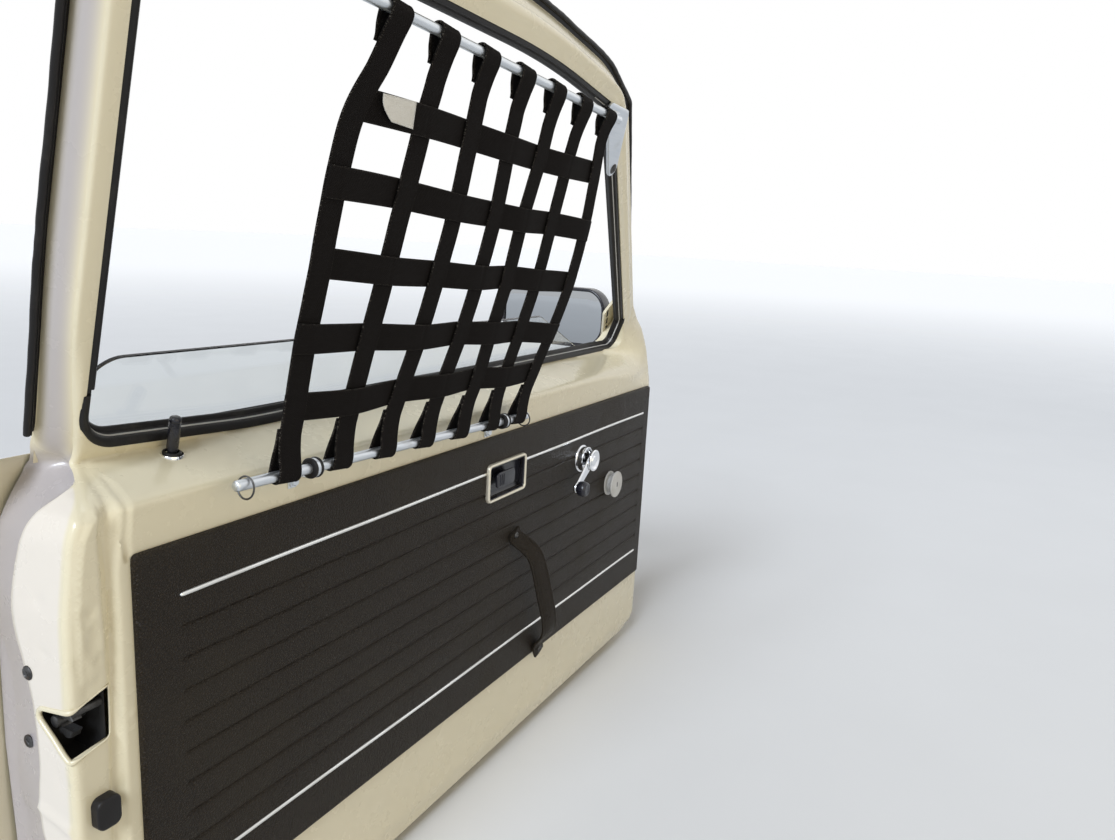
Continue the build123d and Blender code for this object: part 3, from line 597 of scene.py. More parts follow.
def write_webbing(colours):
    f = Finish("black_webbing", specular_ior_level=0.08)
    uv = f.node("ShaderNodeUVMap", {"uv_map": "UVMap"})
    side, run = f.part(uv, 0), f.part(uv, 1)
    twill = (run * 2600.0 + side.abs() * 2600.0).sine()
    cords = (side * 2900.0).sine().abs()
    rib = (run * 5200.0).sine() * 0.5 + 0.5
    edge = side.abs().ease(0.0112, 0.0127)
    fuzz = f.noise(1300.0, 2.0, vector=uv)
    glint = (fuzz > 0.60) * edge
    tone = f.mix(cords * 0.5 + twill * 0.2 + 0.2, tuple(c * 0.5 for c in colours.webbing),
                 tuple(c * 1.35 for c in colours.webbing))
    tone = f.mix(glint * 0.55, tone, (0.20, 0.18, 0.15))
    return f.done(tone, 0.72 + fuzz * 0.15, height=twill * 0.35 + cords * 0.7 + rib * 0.3 + edge * 0.4,
                  depth=0.0005)


def write_zinc(colours):
    f = Finish("zinc_steel")
    streak = f.noise(60.0, 5.0, vector=f.stretched(0.25, 3.0, 3.0), roughness=0.7)
    stain = f.noise(34.0, 4.0).ease(0.55, 0.8)
    tone = f.mix(streak, (0.50, 0.54, 0.58), (0.74, 0.76, 0.78))
    return f.done(f.mix(stain * 0.3, tone, (0.36, 0.34, 0.30)), 0.26 + streak * 0.2 + stain * 0.2,
                  metallic=0.95 - stain * 0.2, height=streak, depth=0.00008)


def write_chrome(colours):
    f = Finish("chrome")
    haze = f.noise(45.0, 5.0).ease(0.5, 0.8)
    return f.done(f.mix(haze * 0.3, (0.80, 0.81, 0.83), (0.5, 0.5, 0.5)), 0.07 + haze * 0.18, metallic=1.0,
                  height=f.noise(160.0, 2.0), depth=0.00004)


def write_champagne(colours):
    f = Finish("champagne_trim")
    fleck = f.noise(300.0, 3.0)
    return f.done(f.mix(fleck, (0.66, 0.60, 0.47), (0.80, 0.76, 0.64)), 0.28 + fleck * 0.14, metallic=0.55,
                  height=fleck, depth=0.00005)


def write_bright(colours):
    f = Finish("bright_trim")
    fleck = f.noise(260.0, 3.0)
    dull = f.noise(20.0, 4.0).ease(0.45, 0.75)
    tone = f.mix(dull * 0.5, (0.78, 0.78, 0.76), (0.56, 0.55, 0.52))
    return f.done(tone, 0.20 + fleck * 0.12 + dull * 0.15, metallic=0.85, height=fleck, depth=0.00005)


def write_pit(colours):
    f = Finish("latch_black_and_shade")
    # Near-black, darker than black steel: the case's own black together with painted shade of the cavity
    # behind the latch mouth.
    grease = f.noise(70.0, 4.0)
    return f.done(f.mix(grease, (0.003, 0.003, 0.003), (0.010, 0.009, 0.008)), 0.6 + grease * 0.3,
                  height=grease, depth=0.0002)


def write_dark_plastic(colours):
    f = Finish("dark_plastic", specular_ior_level=0.5)
    worn = f.noise(40.0, 4.0).ease(0.5, 0.75)
    return f.done(f.mix(worn * 0.4, (0.012, 0.012, 0.018), (0.05, 0.05, 0.055)), 0.22 + worn * 0.25,
                  height=f.noise(600.0, 2.0), depth=0.00006)


def write_pale_plastic(colours):
    f = Finish("pale_plastic")
    worn = f.noise(55.0, 4.0).ease(0.45, 0.75)
    return f.done(f.mix(worn * 0.5, (0.55, 0.54, 0.51), (0.40, 0.38, 0.34)), 0.38 + worn * 0.2,
                  height=f.noise(400.0, 2.0), depth=0.00008)


def write_black_steel(colours):
    f = Finish("black_steel")
    grease = f.noise(45.0, 5.0, roughness=0.7).ease(0.4, 0.7)
    rust = f.noise(90.0, 4.0).ease(0.6, 0.75)
    tone = f.mix(grease, (0.10, 0.10, 0.10), (0.02, 0.018, 0.016))
    return f.done(f.mix(rust * 0.35, tone, (0.14, 0.07, 0.03)), 0.38 + grease * 0.25,
                  metallic=0.7 - rust * 0.4, height=grease, depth=0.0002)


def write_steel_paint(colours):
    f = Finish("hinge_paint")
    chips = f.noise(70.0, 5.0, roughness=0.75).ease(0.6, 0.68)
    tone = f.mix(chips * 0.7, tuple(colours.paint), (0.16, 0.12, 0.09))
    return f.done(tone, 0.36 + chips * 0.3, metallic=chips * 0.5, height=f.noise(160.0, 4.0), depth=0.00025)


def write_cloth(colours):
    f = Finish("tag_cloth", sheen_weight=0.3)
    weave = f.cells(2400.0, "F1", randomness=0.2)
    return f.done(f.mix(f.noise(60.0, 3.0), (0.74, 0.72, 0.66), (0.64, 0.61, 0.54)), 0.8, height=weave,
                  depth=0.00015)


def write_glass(colours):
    f = Finish("clear_glass", transmission_weight=1.0, ior=1.45)
    smear = f.noise(14.0, 4.0).ease(0.55, 0.85)
    return f.done((0.955, 0.975, 0.965), smear * 0.05)


def write_mirror(colours):
    f = Finish("mirror_face")
    smear = f.noise(18.0, 4.0).ease(0.6, 0.9)
    return f.done((0.40, 0.42, 0.44), 0.02 + smear * 0.08, metallic=1.0)


def write_thread(colours):
    f = Finish("edge_thread")
    tone = f.noise(240.0, 2.0)
    return f.done(f.mix(tone.ease(0.42, 0.64), (0.03, 0.026, 0.024), (0.46, 0.43, 0.36)), 0.7)


WRITERS = {
    "paint": write_paint, "skin": write_skin_paint, "vinyl": write_vinyl, "rubber": write_rubber,
    "webbing": write_webbing, "zinc": write_zinc, "chrome": write_chrome, "champagne": write_champagne,
    "dark": write_dark_plastic, "pale": write_pale_plastic, "steel": write_black_steel,
    "bright": write_bright, "pit": write_pit, "hinge": write_steel_paint, "cloth": write_cloth,
    "glass": write_glass, "mirror": write_mirror, "thread": write_thread,
}


# Repeats by Geometry Nodes

def repeat_tree(name):
    """Tree that sets a part on every point, turned by the points' aim, and makes it real."""
    tree = bpy.data.node_groups.new(name, "GeometryNodeTree")
    sockets = {}
    for label, kind in (("Geometry", "Geometry"), ("Part", "Object"), ("Size", "Float"),
                        ("Size Spread", "Float"), ("Seed", "Int"), ("Finish", "Material")):
        kind = "NodeSocket" + kind
        sockets[label] = tree.interface.new_socket(name=label, in_out="INPUT", socket_type=kind).identifier
    tree.interface.new_socket(name="Geometry", in_out="OUTPUT", socket_type="NodeSocketGeometry")
    new = tree.nodes.new
    given, out = new("NodeGroupInput"), new("NodeGroupOutput")
    part, aim, set_on, real, coat = (new("GeometryNode" + kind) for kind in (
        "ObjectInfo", "InputNamedAttribute", "InstanceOnPoints", "RealizeInstances", "SetMaterial"))
    least, most, spread = new("ShaderNodeMath"), new("ShaderNodeMath"), new("FunctionNodeRandomValue")
    least.operation, most.operation = "SUBTRACT", "ADD"
    aim.data_type = "FLOAT_VECTOR"
    aim.inputs["Name"].default_value = "aim"
    link = tree.links.new
    link(given.outputs["Part"], part.inputs["Object"])
    for node in (least, most):
        link(given.outputs["Size"], node.inputs[0])
        link(given.outputs["Size Spread"], node.inputs[1])
    link(least.outputs[0], spread.inputs[2])
    link(most.outputs[0], spread.inputs[3])
    link(given.outputs["Seed"], spread.inputs["Seed"])
    link(given.outputs["Geometry"], set_on.inputs["Points"])
    link(part.outputs["Geometry"], set_on.inputs["Instance"])
    link(aim.outputs["Attribute"], set_on.inputs["Rotation"])
    link(spread.outputs[1], set_on.inputs["Scale"])
    link(set_on.outputs[0], real.inputs[0])
    link(real.outputs[0], coat.inputs["Geometry"])
    link(given.outputs["Finish"], coat.inputs["Material"])
    link(coat.outputs[0], out.inputs[0])
    return tree, sockets


def repeat(name, stack, places, aims, look, slot, spread=0.0, seed=1):
    """One mesh with a copy of the stack on each place, its own Z turned to each aim."""
    part = loose_part(name + "_part", stack)
    mesh = bpy.data.meshes.new(name)
    mesh.from_pydata(metres(places).tolist(), [], [])
    turn = mesh.attributes.new("aim", "FLOAT_VECTOR", "POINT")
    euler = []
    for aim in aims:
        aim, spin = (aim[:3], aim[3]) if len(aim) == 4 else (aim, 0.0)
        turned = Vector(aim).to_track_quat("Z", "Y").to_matrix() @ Matrix.Rotation(spin, 3, "Z")
        euler += list(turned.to_euler())
    turn.data.foreach_set("vector", euler)
    obj = bpy.data.objects.new(name, mesh)
    bpy.context.scene.collection.objects.link(obj)
    tree, sockets = repeat_tree(name + "_tree")
    mod = obj.modifiers.new("repeat", "NODES")
    mod.node_group = tree
    for label, value in (("Part", part), ("Size", 1.0), ("Size Spread", spread), ("Seed", seed),
                         ("Finish", finish(look))):
        mod[sockets[label]] = value
    graph = bpy.context.evaluated_depsgraph_get()
    solid = bpy.data.meshes.new_from_object(obj.evaluated_get(graph), depsgraph=graph)
    obj.modifiers.remove(mod)
    obj.data = solid
    bpy.data.objects.remove(part)
    shade(obj, 35)
    place(obj, "door", slot)


def loose_part(name, stack):
    """Template for repeats, built about its own origin in millimetres."""
    mesh = bpy.data.meshes.new(name)
    mesh.from_pydata((np.vstack(stack.verts) / 1000.0).tolist(), [], stack.faces)
    obj = bpy.data.objects.new(name, mesh)
    bpy.context.scene.collection.objects.link(obj)
    bm = bmesh.new()
    bm.from_mesh(mesh)
    bmesh.ops.recalc_face_normals(bm, faces=bm.faces)
    bm.to_mesh(mesh)
    bm.free()
    obj.hide_render = True
    return obj


def cross_head(radius):
    """Raised screw head with a cross recess."""
    stack = Stack()
    stack.lathe((0, 0, 0), (0, 0, 1), [(radius, -0.5), (radius, 0.4), (radius * 0.86, 1.1),
                                       (radius * 0.55, 1.7), (radius * 0.5, 1.75), (radius * 0.34, 0.9),
                                       (0, 0.6)], 24)
    for turn in (0, math.pi / 2):
        path = np.array([(-radius * 0.5, 0, 1.25), (radius * 0.5, 0, 1.25)])
        turned = np.array([(x * math.cos(turn), x * math.sin(turn), z) for x, _, z in path])
        side = np.array([(-math.sin(turn), math.cos(turn), 0)] * 2)
        stack.sweep(turned, side, np.array([(0, 0, 1.0)] * 2),
                    rounded_box(radius * 0.2, 0.9, radius * 0.08, 1))
    return stack


def hex_head(radius, height):
    """Hexagon bolt head on a washer."""
    stack = Stack()
    stack.lathe((0, 0, 0), (0, 0, 1), [(radius * 1.35, 0), (radius * 1.35, 1.2), (radius * 1.3, 1.6),
                                       (0, 1.6)], 24)
    stack.lathe((0, 0, 0), (0, 0, 1), [(radius, 1.6), (radius, height * 0.85), (radius * 0.86, height),
                                       (0, height)], 6)
    return stack


# Inner pressing with the window frame

def lines_of_pressing():
    """Edge of the cabin face, opening in the frame's plane, and the same opening seen as (X, Z)."""
    edge = rounded_loop(EDGE, 4.0, 3.2)
    opening = rounded_loop(OPENING, 7.0, 2.2)
    hole = np.stack((opening[:, 0], FRAME_FOOT[1] + opening[:, 1] * math.cos(LEAN)), 1)
    return edge, opening, hole


# Lines pressed into the cabin face near the latch, as (X, Z)
GROOVE = [(6, 64), (-3, 50), (-11, 36), (-16, 18), (-14.5, -36), (-16, -105), (-18, -162), (-20, -227),
          (-20, -425)]
PAD_LEFT = [(-20, 44), (-31, 28), (-36.5, 12), (-41, -21), (-42, -60), (-42, -110)]
PAD_RIGHT = [(-18, 42), (-23, 24), (-22.5, 2), (-22.5, -28), (-21.5, -66), (-22, -110)]
SMALL_DENTS = 34
TONGUE = [(6, 54), (-2, 38), (-6, 13), (-3, -6), (1, -4), (0.5, 10), (3, 34), (10, 50)]


def depth_in(points, loop):
    """Distance from a closed line, above zero inside it."""
    return from_line(points, loop, True) * np.where(within(points, loop), 1, -1)


def face_height(x, z, hole, edge):
    """Y of the pressing's cabin face, with its ledge, window surround, beads and dents."""
    at = np.stack((x, z), 1)
    turn = -11 + 9 * ease((z + 20) / 60)
    field = ease((x - turn + 4) / 5) * ease((1042 - x) / 8) * ease((z + 446) / 8)
    panel = 6 - 4 * field
    rear, front = ease((8 - x) / 40), ease((x - 800) / 170)
    ledge = 2 + (z - LEDGE_FOOT) * LEDGE_SLOPE
    y = soft_max(panel, ledge, 9 + 16 * rear + 26 * front)
    surround = FRAME_FOOT[0] - (z - FRAME_FOOT[1]) * math.tan(LEAN)
    y = soft_min(y, surround, 2.5 + 16 * rear + 14 * front)
    rise = np.interp(z, [0, 32, 60, 79, 98, 115, 140], [6, 10.4, 15.5, 21, 28, 37, 52])
    swept = soft_min(rise, surround, 6)
    share = ease((x - 940) / 100) * ease(z / 22)
    y = y + (swept - y) * share
    from_hole = from_line(at, hole, True)
    from_edge = from_line(at, edge, True)
    high = ease((z - 92) / 50)
    y -= high * 2.4 * np.exp(-((from_hole - 15) / 4.2) ** 2)
    y += high * 1.2 * np.exp(-((from_hole - 24) / 3.2) ** 2)
    y -= 0.9 * np.exp(-((from_hole - 4) / 2.6) ** 2)
    groove = from_line(at, smooth_line(GROOVE, 6))
    y += 3.2 * np.exp(-(groove / 3.6) ** 2) * ease((72 - z) / 24)
    left, right = smooth_line(PAD_LEFT, 5), smooth_line(PAD_RIGHT, 5)
    pad = np.vstack((left, right[::-1]))
    y -= ease((z + 110) / 50) * 2.6 * ease((depth_in(at, pad) + 1.3) / 2.8)
    y += 1.8 * ease((depth_in(at, np.array(TONGUE, float)) + 1.2) / 2.4)
    rng = np.random.default_rng(7)
    ranges = ((-41, -25), (-104, -22), (2.5, 5.5), (0.35, 0.95))
    press(y, x, z, zip(*(rng.uniform(low, high, SMALL_DENTS) for low, high in ranges)))
    press(y, x, z, ((-3.5, -128, 2.5, -1.0), (700, 52, 60, 0.5), (330, 60, 80, 0.4), (180, -395, 70, 0.6)))
    turned = np.clip(1 - from_edge / 6.0, 0, 1)
    y += 6.0 * (1 - np.sqrt(1 - turned ** 2))
    return y


def spread_points(edge, hole):
    """Inner points of the pressing's face, close where it shows and far apart under the card."""
    areas = [
        (-60, 62, -10, 130, 2.3), (-60, 6, -240, -10, 2.3), (-60, 6, -466, -240, 8.0),
        (62, 1060, -8, 28, 6.0), (62, 1060, 28, 66, 2.5), (62, 1060, 66, 130, 3.2),
        (6, 1040, -340, -8, 45.0), (6, 1060, -466, -340, 9.0), (1040, 1060, -340, -8, 6.0),
        (-80, 60, 130, 480, 2.8), (60, 1060, 130, 480, 3.0),
    ]
    made = []
    for x0, x1, z0, z1, step in areas:
        xs, zs = np.arange(x0 + step / 2, x1, step), np.arange(z0 + step / 2, z1, step)
        gx, gz = np.meshgrid(xs, zs)
        gx = gx + (np.arange(len(zs)) % 2)[:, None] * step / 2
        pts = np.stack((gx.ravel(), gz.ravel()), 1)
        pts = pts[within(pts, edge) & ~within(pts, hole)]
        near = np.minimum(from_line(pts, edge, True) - 5, from_line(pts, hole, True) - 3)
        made.append(pts[near > min(step, 6) * 0.6])
    return np.vstack(made)


def offset_rows(loop, inward, steps):
    """The closed line moved in or out by each step."""
    side = loop_sides(loop)
    test = loop[0] + side[0] * 2
    sign = 1 if within(test[None], loop)[0] == inward else -1
    return [loop + side * sign * d for d in steps]


def triangulate(points, loops, keep):
    """Triangles over plane points that hold the closed loops."""
    coords, edges = [Vector(p) for p in points], []
    for loop in loops:
        start = len(coords)
        coords += [Vector(p) for p in loop]
        edges += [(start + k, start + (k + 1) % len(loop)) for k in range(len(loop))]
    verts, _, faces, _, _, _ = delaunay_2d_cdt(coords, edges, [], 0, 1e-5)
    flat = np.array([v[:] for v in verts])
    faces = np.array(faces)
    return flat, faces[keep(flat[faces].mean(1))]


def rear_share(loop):
    """How far each point of the edge belongs to the shell's rear, and how far to the frame."""
    rear = (loop[:, 0] < 30) * ease((84 - loop[:, 1]) / 34) * ease((loop[:, 1] + 455) / 60)
    up = ease((loop[:, 1] - 52) / 34)
    return rear, up


def wall_points(edge, top):
    """Rows from the pressing's edge to its outer rim, with the shut face's pad and beads."""
    outward = -offset_rows(edge, True, (1.0,))[0] + edge
    rear, up = rear_share(edge)
    flat = np.stack((edge[:, 0], (edge[:, 1] - FRAME_FOOT[1]) / math.cos(LEAN)), 1)
    frame_rim = on_frame(*onto_line(flat, rounded_loop(OUTLINE, 3.0)).T, 28.0)
    zs, ys = np.array(SKIN_LINE).T
    low_z = np.minimum(edge[:, 1], 66)
    base = np.interp(edge[:, 1], *np.array(REAR_LINE).T)
    base = np.where((edge[:, 0] < 30) & (edge[:, 1] > -104), base, edge[:, 0])
    shell_rim = np.stack((base + 8 * rear, np.interp(low_z, zs, ys) - 1.4, low_z), 1)
    rim = shell_rim * (1 - up)[:, None] + frame_rim * up[:, None]
    start = np.stack((edge[:, 0], top, edge[:, 1]), 1)
    sz, sy = smooth_line(SHUT_LINE, 3).T
    rows, grime = [start], [np.zeros(len(edge))]
    shut = np.interp(edge[:, 1], sz, sy)
    tall = np.maximum(rim[:, 1] - start[:, 1], 1.0)
    turn = np.clip((shut - start[:, 1]) / tall, 0.1, 0.9)
    near = np.clip(2.2 / tall, 0, 0.04)
    low, high = (turn - near)[None], (turn + near)[None]
    follow = np.concatenate((low * np.linspace(0.02, 1, 12)[:, None],
                             low + (high - low) * np.linspace(0.2, 1, 5)[:, None],
                             high + (1 - high) * np.linspace(0, 1, 12)[1:, None]))
    evenly_on = np.concatenate((np.linspace(0.015, 0.24, 9), np.linspace(0.28, 1, 19)))
    for q in evenly_on[:, None] * (1 - rear) + follow * rear:
        row = start + (rim - start) * q[:, None]
        row[:, 0] = start[:, 0] + (rim[:, 0] - start[:, 0]) * np.where(rear > 0, 0, q)
        pad = ease((np.interp(row[:, 2], sz, sy) - row[:, 1]) / 4.4 + 0.5)
        beyond = np.clip(row[:, 1] - np.interp(row[:, 2], sz, sy), 0, 60)
        # Painted shade on the post's rear side.
        post_painted_shade = 0.8 * ease((edge[:, 1] - 40) / 40) * np.sin(math.pi * np.clip(q * 1.15, 0, 1)) ** 0.7
        # Mask of painted light and shade: painted shade on the recess beside the pad and on the post,
        # painted sunlight (below zero) on the pad.
        grime.append((np.maximum(rear * (1 - pad), post_painted_shade) - rear * pad * ease(q / 0.06)) * (edge[:, 0] < 30))
        deep = 8.5 * (1 - pad) * ease((row[:, 1] - start[:, 1]) / 10)
        blend = (rear > 0) * (1 - rear) * (rim[:, 0] - start[:, 0]) * q
        row[:, 0] += rear * ((base - edge[:, 0]) * q + deep + 0.2 * beyond) + blend
        bead_z = -199 - (58 - row[:, 1]) * 10 / 46
        bead = np.exp(-((row[:, 2] - bead_z) / 3.5) ** 2)
        bead = bead * ease((row[:, 1] - 10) / 6) * ease((60 - row[:, 1]) / 6)
        row[:, 0] -= 1.8 * rear * bead
        bulge = np.sin(math.pi * q) * up * 2.6
        row[:, 0] += outward[:, 0] * bulge
        row[:, 2] += outward[:, 1] * bulge
        press(row[:, 0], row[:, 1], row[:, 2], ((38, -28, 5, 1.2), (34, -68, 4.5, 1.0), (20, -170, 8, 0.6)),
              rear)
        rows.append(row)
    return np.array(rows), np.array(grime)


def punch(bm, corners, low, high):
    """Cut a polygon of (Y, Z) corners through the faces whose X lies from low to high."""
    ring = [Vector(metres((0, *corner))) for corner in corners]
    x0, x1 = metres((low, 0, 0))[0], metres((high, 0, 0))[0]
    (y0, z0), (y1, z1) = [[pick(r[k] for r in ring) for k in (1, 2)] for pick in (min, max)]

    def near():
        made = []
        for face in bm.faces:
            p = face.calc_center_median()
            if x0 < p.x < x1 and y0 - 0.012 < p.y < y1 + 0.012 and z0 - 0.01 < p.z < z1 + 0.01:
                made.append(face)
        return made

    for a, b in zip(ring, ring[1:] + ring[:1]):
        faces = near()
        geom = faces + list({e for f in faces for e in f.edges}) + list({v for f in faces for v in f.verts})
        normal = (b - a).cross(Vector((1, 0, 0))).normalized()
        bmesh.ops.bisect_plane(bm, geom=geom, plane_co=a, plane_no=normal, dist=1e-6)
    faces = near()
    inside = within(np.array([f.calc_center_median()[1:] for f in faces]), np.array([r[1:] for r in ring]))
    bmesh.ops.delete(bm, geom=[f for f, gone in zip(faces, inside) if gone], context="FACES")


def build_pressing():
    edge, opening, hole = lines_of_pressing()
    rims = offset_rows(edge, True, (0.5, 1.4, 2.8, 4.6)) + offset_rows(hole, False, (1.0, 2.4))
    z = LATCH_Z
    mouth = np.array([(-60, z + 15.5), (-19, z + 29), (-19, z - 14), (-60, z - 23.8)], float)
    flat, faces = triangulate(
        np.vstack((spread_points(edge, hole), *rims)), (edge, hole, mouth),
        lambda c: within(c, edge) & ~within(c, hole) & ~within(c, mouth))
    y = face_height(flat[:, 0], flat[:, 1], hole, edge)
    stack = Stack()
    stack.add(np.stack((flat[:, 0], y, flat[:, 1]), 1), faces.tolist())
    top = face_height(edge[:, 0], edge[:, 1], hole, edge)
    wall, grime = wall_points(edge, top)
    wall_start = stack.count
    stack.loft(wall, False, False)
    inner_y = face_height(hole[:, 0], hole[:, 1], hole, edge)
    back = offset_rows(opening, False, (1.0,))[0] - opening
    fall = 2 + 18 * ease((opening[:, 0] - 560) / 80) * ease((opening[:, 1] + 2) / 20)
    back = opening + back * fall[:, None]
    jamb = [np.stack((hole[:, 0], inner_y, hole[:, 1]), 1)]
    jamb += [on_frame(*opening.T, n) for n in (1.5, 4, 14, 17)] + [on_frame(*back.T, 28)]
    stack.loft(jamb, False, False)
    outline = rounded_loop(OUTLINE, 8.0, 4.0)
    xs, zs = np.meshgrid(np.arange(-75, 1050, 9.0), np.arange(-24, 440, 9.0))
    pts = np.stack((xs.ravel(), zs.ravel()), 1)
    pts = pts[within(pts, outline) & ~within(pts, back)]
    near = np.minimum(from_line(pts, outline, True), from_line(pts, back, True))
    flat, faces = triangulate(
        pts[near > 4], (outline, back), lambda c: within(c, outline) & ~within(c, back))
    raised = 27.8 - 1.2 * ease((9 - from_line(flat, outline, True)) / 4)
    stack.add(on_frame(flat[:, 0], flat[:, 1], raised), faces.tolist())
    # Painted light and shade of the shut face, kept on the wall's points as an attribute for the paint.
    marks = np.zeros(stack.count)
    marks[wall_start:wall_start + grime.size] = grime.ravel()
    obj = stack.make("door_pressing", finish("paint"), 50, clean=False)
    obj.data.attributes.new("grime", "FLOAT", "POINT").data.foreach_set("value", marks)
    bm = bmesh.new()
    bm.from_mesh(obj.data)
    bmesh.ops.remove_doubles(bm, verts=bm.verts, dist=2e-6)
    bmesh.ops.recalc_face_normals(bm, faces=bm.faces)
    punch(bm, [(11, z + 18.2), (44, z + 12), (44, z + 2), (11, z - 22.8)], -80, -44)
    bm.to_mesh(obj.data)
    bm.free()
    shade(obj, 50)
    place(obj, "door", "ivory_paint", "inner_panel", "window_frame")
    lip = Stack()
    mouth = [
        (-50.8, 11.2, 18), (-50.4, 28, 15), (-50.4, 41, 12.6), (-50.4, 44.4, 8), (-50.4, 43, 2.8),
        (-50.4, 28, -9.5), (-50.8, 11.2, -21.6), (-47, 5.6, -20.4), (-34, 4.6, -17.4), (-21, 3.4, -14),
        (-19, 3.0, -8), (-19, 3.0, 24), (-22, 3.4, 27.6), (-36, 4.6, 23), (-47, 5.6, 19.4),
    ]
    mouth = [(x, y, z + rise) for x, y, rise in mouth]
    path = evenly(smooth_line(mouth + mouth[:1], 2.0)[:-1], 2.0, True)
    on_face = path[:, 1] < 10.8
    path[on_face, 1] = face_height(path[on_face, 0], path[on_face, 2], hole, edge) + 0.2
    lip.ring_bar(path, 0.8 + 1.5 * ease((-44 - path[:, 0]) / 7))
    lip.piece("latch_mouth_lip", "paint", "ivory_paint", smooth=60)


# Rubbers and glass

def frame_line(corners, step, grow, n):
    """Closed line of the frame's plane pushed out by grow, with its side and depth directions."""
    line = rounded_loop(corners, step, 3.0)
    side = offset_rows(line, False, (1.0,))[0] - line
    path = on_frame(*(line + side * grow).T, n)
    out = along_frame(*side.T, 0)
    deep = np.broadcast_to(along_frame(0, 0, 1), out.shape)
    return line, path, out, deep


def build_frame_seal():
    """Rubber bulb along the frame, from one side of the waist over the top to the other."""
    line, path, out, deep = frame_line(OUTLINE, 6.0, 4.3, 25.0)
    start = int(np.argmin(np.abs(line[:, 0] + 18) + np.abs(line[:, 1] + 8)))
    order = np.roll(np.arange(len(line)), -start)
    if line[order[5], 1] < line[order[0], 1]:
        order = order[::-1]
    keep = [i for i in order if line[i, 1] > -6]
    wave = 0.5 * np.sin(np.arange(len(keep)) * 0.37) + 0.3 * np.sin(np.arange(len(keep)) * 1.13)
    bulb = [(2.7 + 2.5 * math.cos(a), 2.6 * math.sin(a)) for a in np.linspace(-2.4, 2.4, 14)]
    profile = np.array(bulb + [(0.2, 2.9), (-4.7, 3.5), (-4.7, 2.4), (-0.3, 1.4), (-0.3, -1.6),
                               (0.4, -2.4)])
    stack = Stack()
    stack.sweep(path[keep] + out[keep] * wave[:, None] * 0.4, out[keep], deep[keep], profile)
    stack.piece("frame_seal_bulb", "rubber", "black_rubber", "frame_seal", smooth=60)


def opening_rubber(low, high, profile):
    """Sweep of a profile along the part of the opening's line between two heights."""
    line, path, out, deep = frame_line(OPENING, 5.0, 0.0, 4.0)
    start = int(np.argmin(line[:, 1])) if low > 0 else int(np.argmax(line[:, 1]))
    order = np.roll(np.arange(len(line)), -start)
    keep = [k for k, i in enumerate(order) if low <= line[i, 1] <= high]
    rows = np.concatenate((path, out, deep), 1)[order]
    height = line[order, 1]
    tips = []
    for here, there in ((keep[0], keep[0] - 1), (keep[-1], (keep[-1] + 1) % len(order))):
        share = ((low if height[there] < low else high) - height[here]) / (height[there] - height[here])
        tips.append(rows[here] + (rows[there] - rows[here]) * share)
    rows = np.vstack((tips[0], rows[keep], tips[1]))
    stack = Stack()
    stack.way = rows[:, :3], rows[:, 3:6], rows[:, 6:]
    stack.sweep(*stack.way, profile)
    return stack


def build_window_rubbers():
    upper = [(3.6, 0.2), (4.6, -1.2), (3.0, -2.9), (-4.5, -2.6), (-6.0, 0.4), (-7.0, 0.8), (-8.6, 0.2),
             (-10.6, 2.4), (-10.9, 5.5), (-9.5, 7.0), (-9.8, 10.6), (-4.0, 11.2), (-0.1, 11.2)]
    lower = [(0.2, 0.2), (2.6, -1.0), (3.3, -3.4), (1.4, -5.4), (-2.2, -5.0), (-4.4, -3.0), (-5.0, -0.6),
             (-4.9, 3.0), (-5.2, 6.4), (-7.6, 7.6), (-8.4, 9.4), (-7.6, 11.2), (-4.0, 11.6), (-0.1, 11.2)]
    opening_rubber(41.4, 500, upper).piece("window_rubber", "rubber", "black_rubber", "window_channel")
    opening_rubber(-50, 41, lower).piece("waist_rubber", "rubber", "black_rubber", "waist_seal_inner")
    line = Stack()
    way = opening_rubber(41.4, 500, upper).way
    line.sweep(*(part[way[0][:, 0] > 560] for part in way),
               [(-7.6, 0.9), (-7.2, 0.1), (-6.4, 0.0), (-6.1, 0.9), (-6.8, 1.4)])
    line.sweep(*opening_rubber(-50, 41, lower).way,
               [(-4.6, 0.6), (-5.3, 0.8), (-5.4, 2.4), (-4.8, 2.8), (-4.2, 1.6)])
    line.piece("rubber_filler", "pale", "pale_plastic", smooth=60)
    strip = Stack()
    u = np.arange(46, 960, 12.0)
    path = on_frame(u, -19.5 + 0.4 * np.sin(u * 0.02), 22.0)
    up, deep = (np.broadcast_to(along_frame(*way), path.shape) for way in ((0, 1, 0), (0, 0, 1)))
    strip.sweep(path, up, deep, [(-6, -1.8), (2, -1.9), (5.6, -1.2), (6.1, 0.2), (5.2, 1.5), (2, 1.9),
                                 (-6, 1.9)])
    strip.piece("waist_rubber_outer", "rubber", "black_rubber", "waist_seal_outer")


def build_glass():
    corners = [(1, 61, 30), (700, 54, 24), (1000, -62, 1), (8, -62, 1)]
    outline = rounded_loop(corners, 20.0, 4.0)
    side = offset_rows(outline, True, (0.0, 0.7))
    stack = Stack()
    rows = [on_frame(*side[1].T, 16.0), on_frame(*side[0].T, 16.7), on_frame(*side[0].T, 19.3),
            on_frame(*side[1].T, 20.0)]
    stack.loft(rows)
    stack.piece("lowered_glass", "glass", "clear_glass", "window_glass", smooth=30)


# Trim card

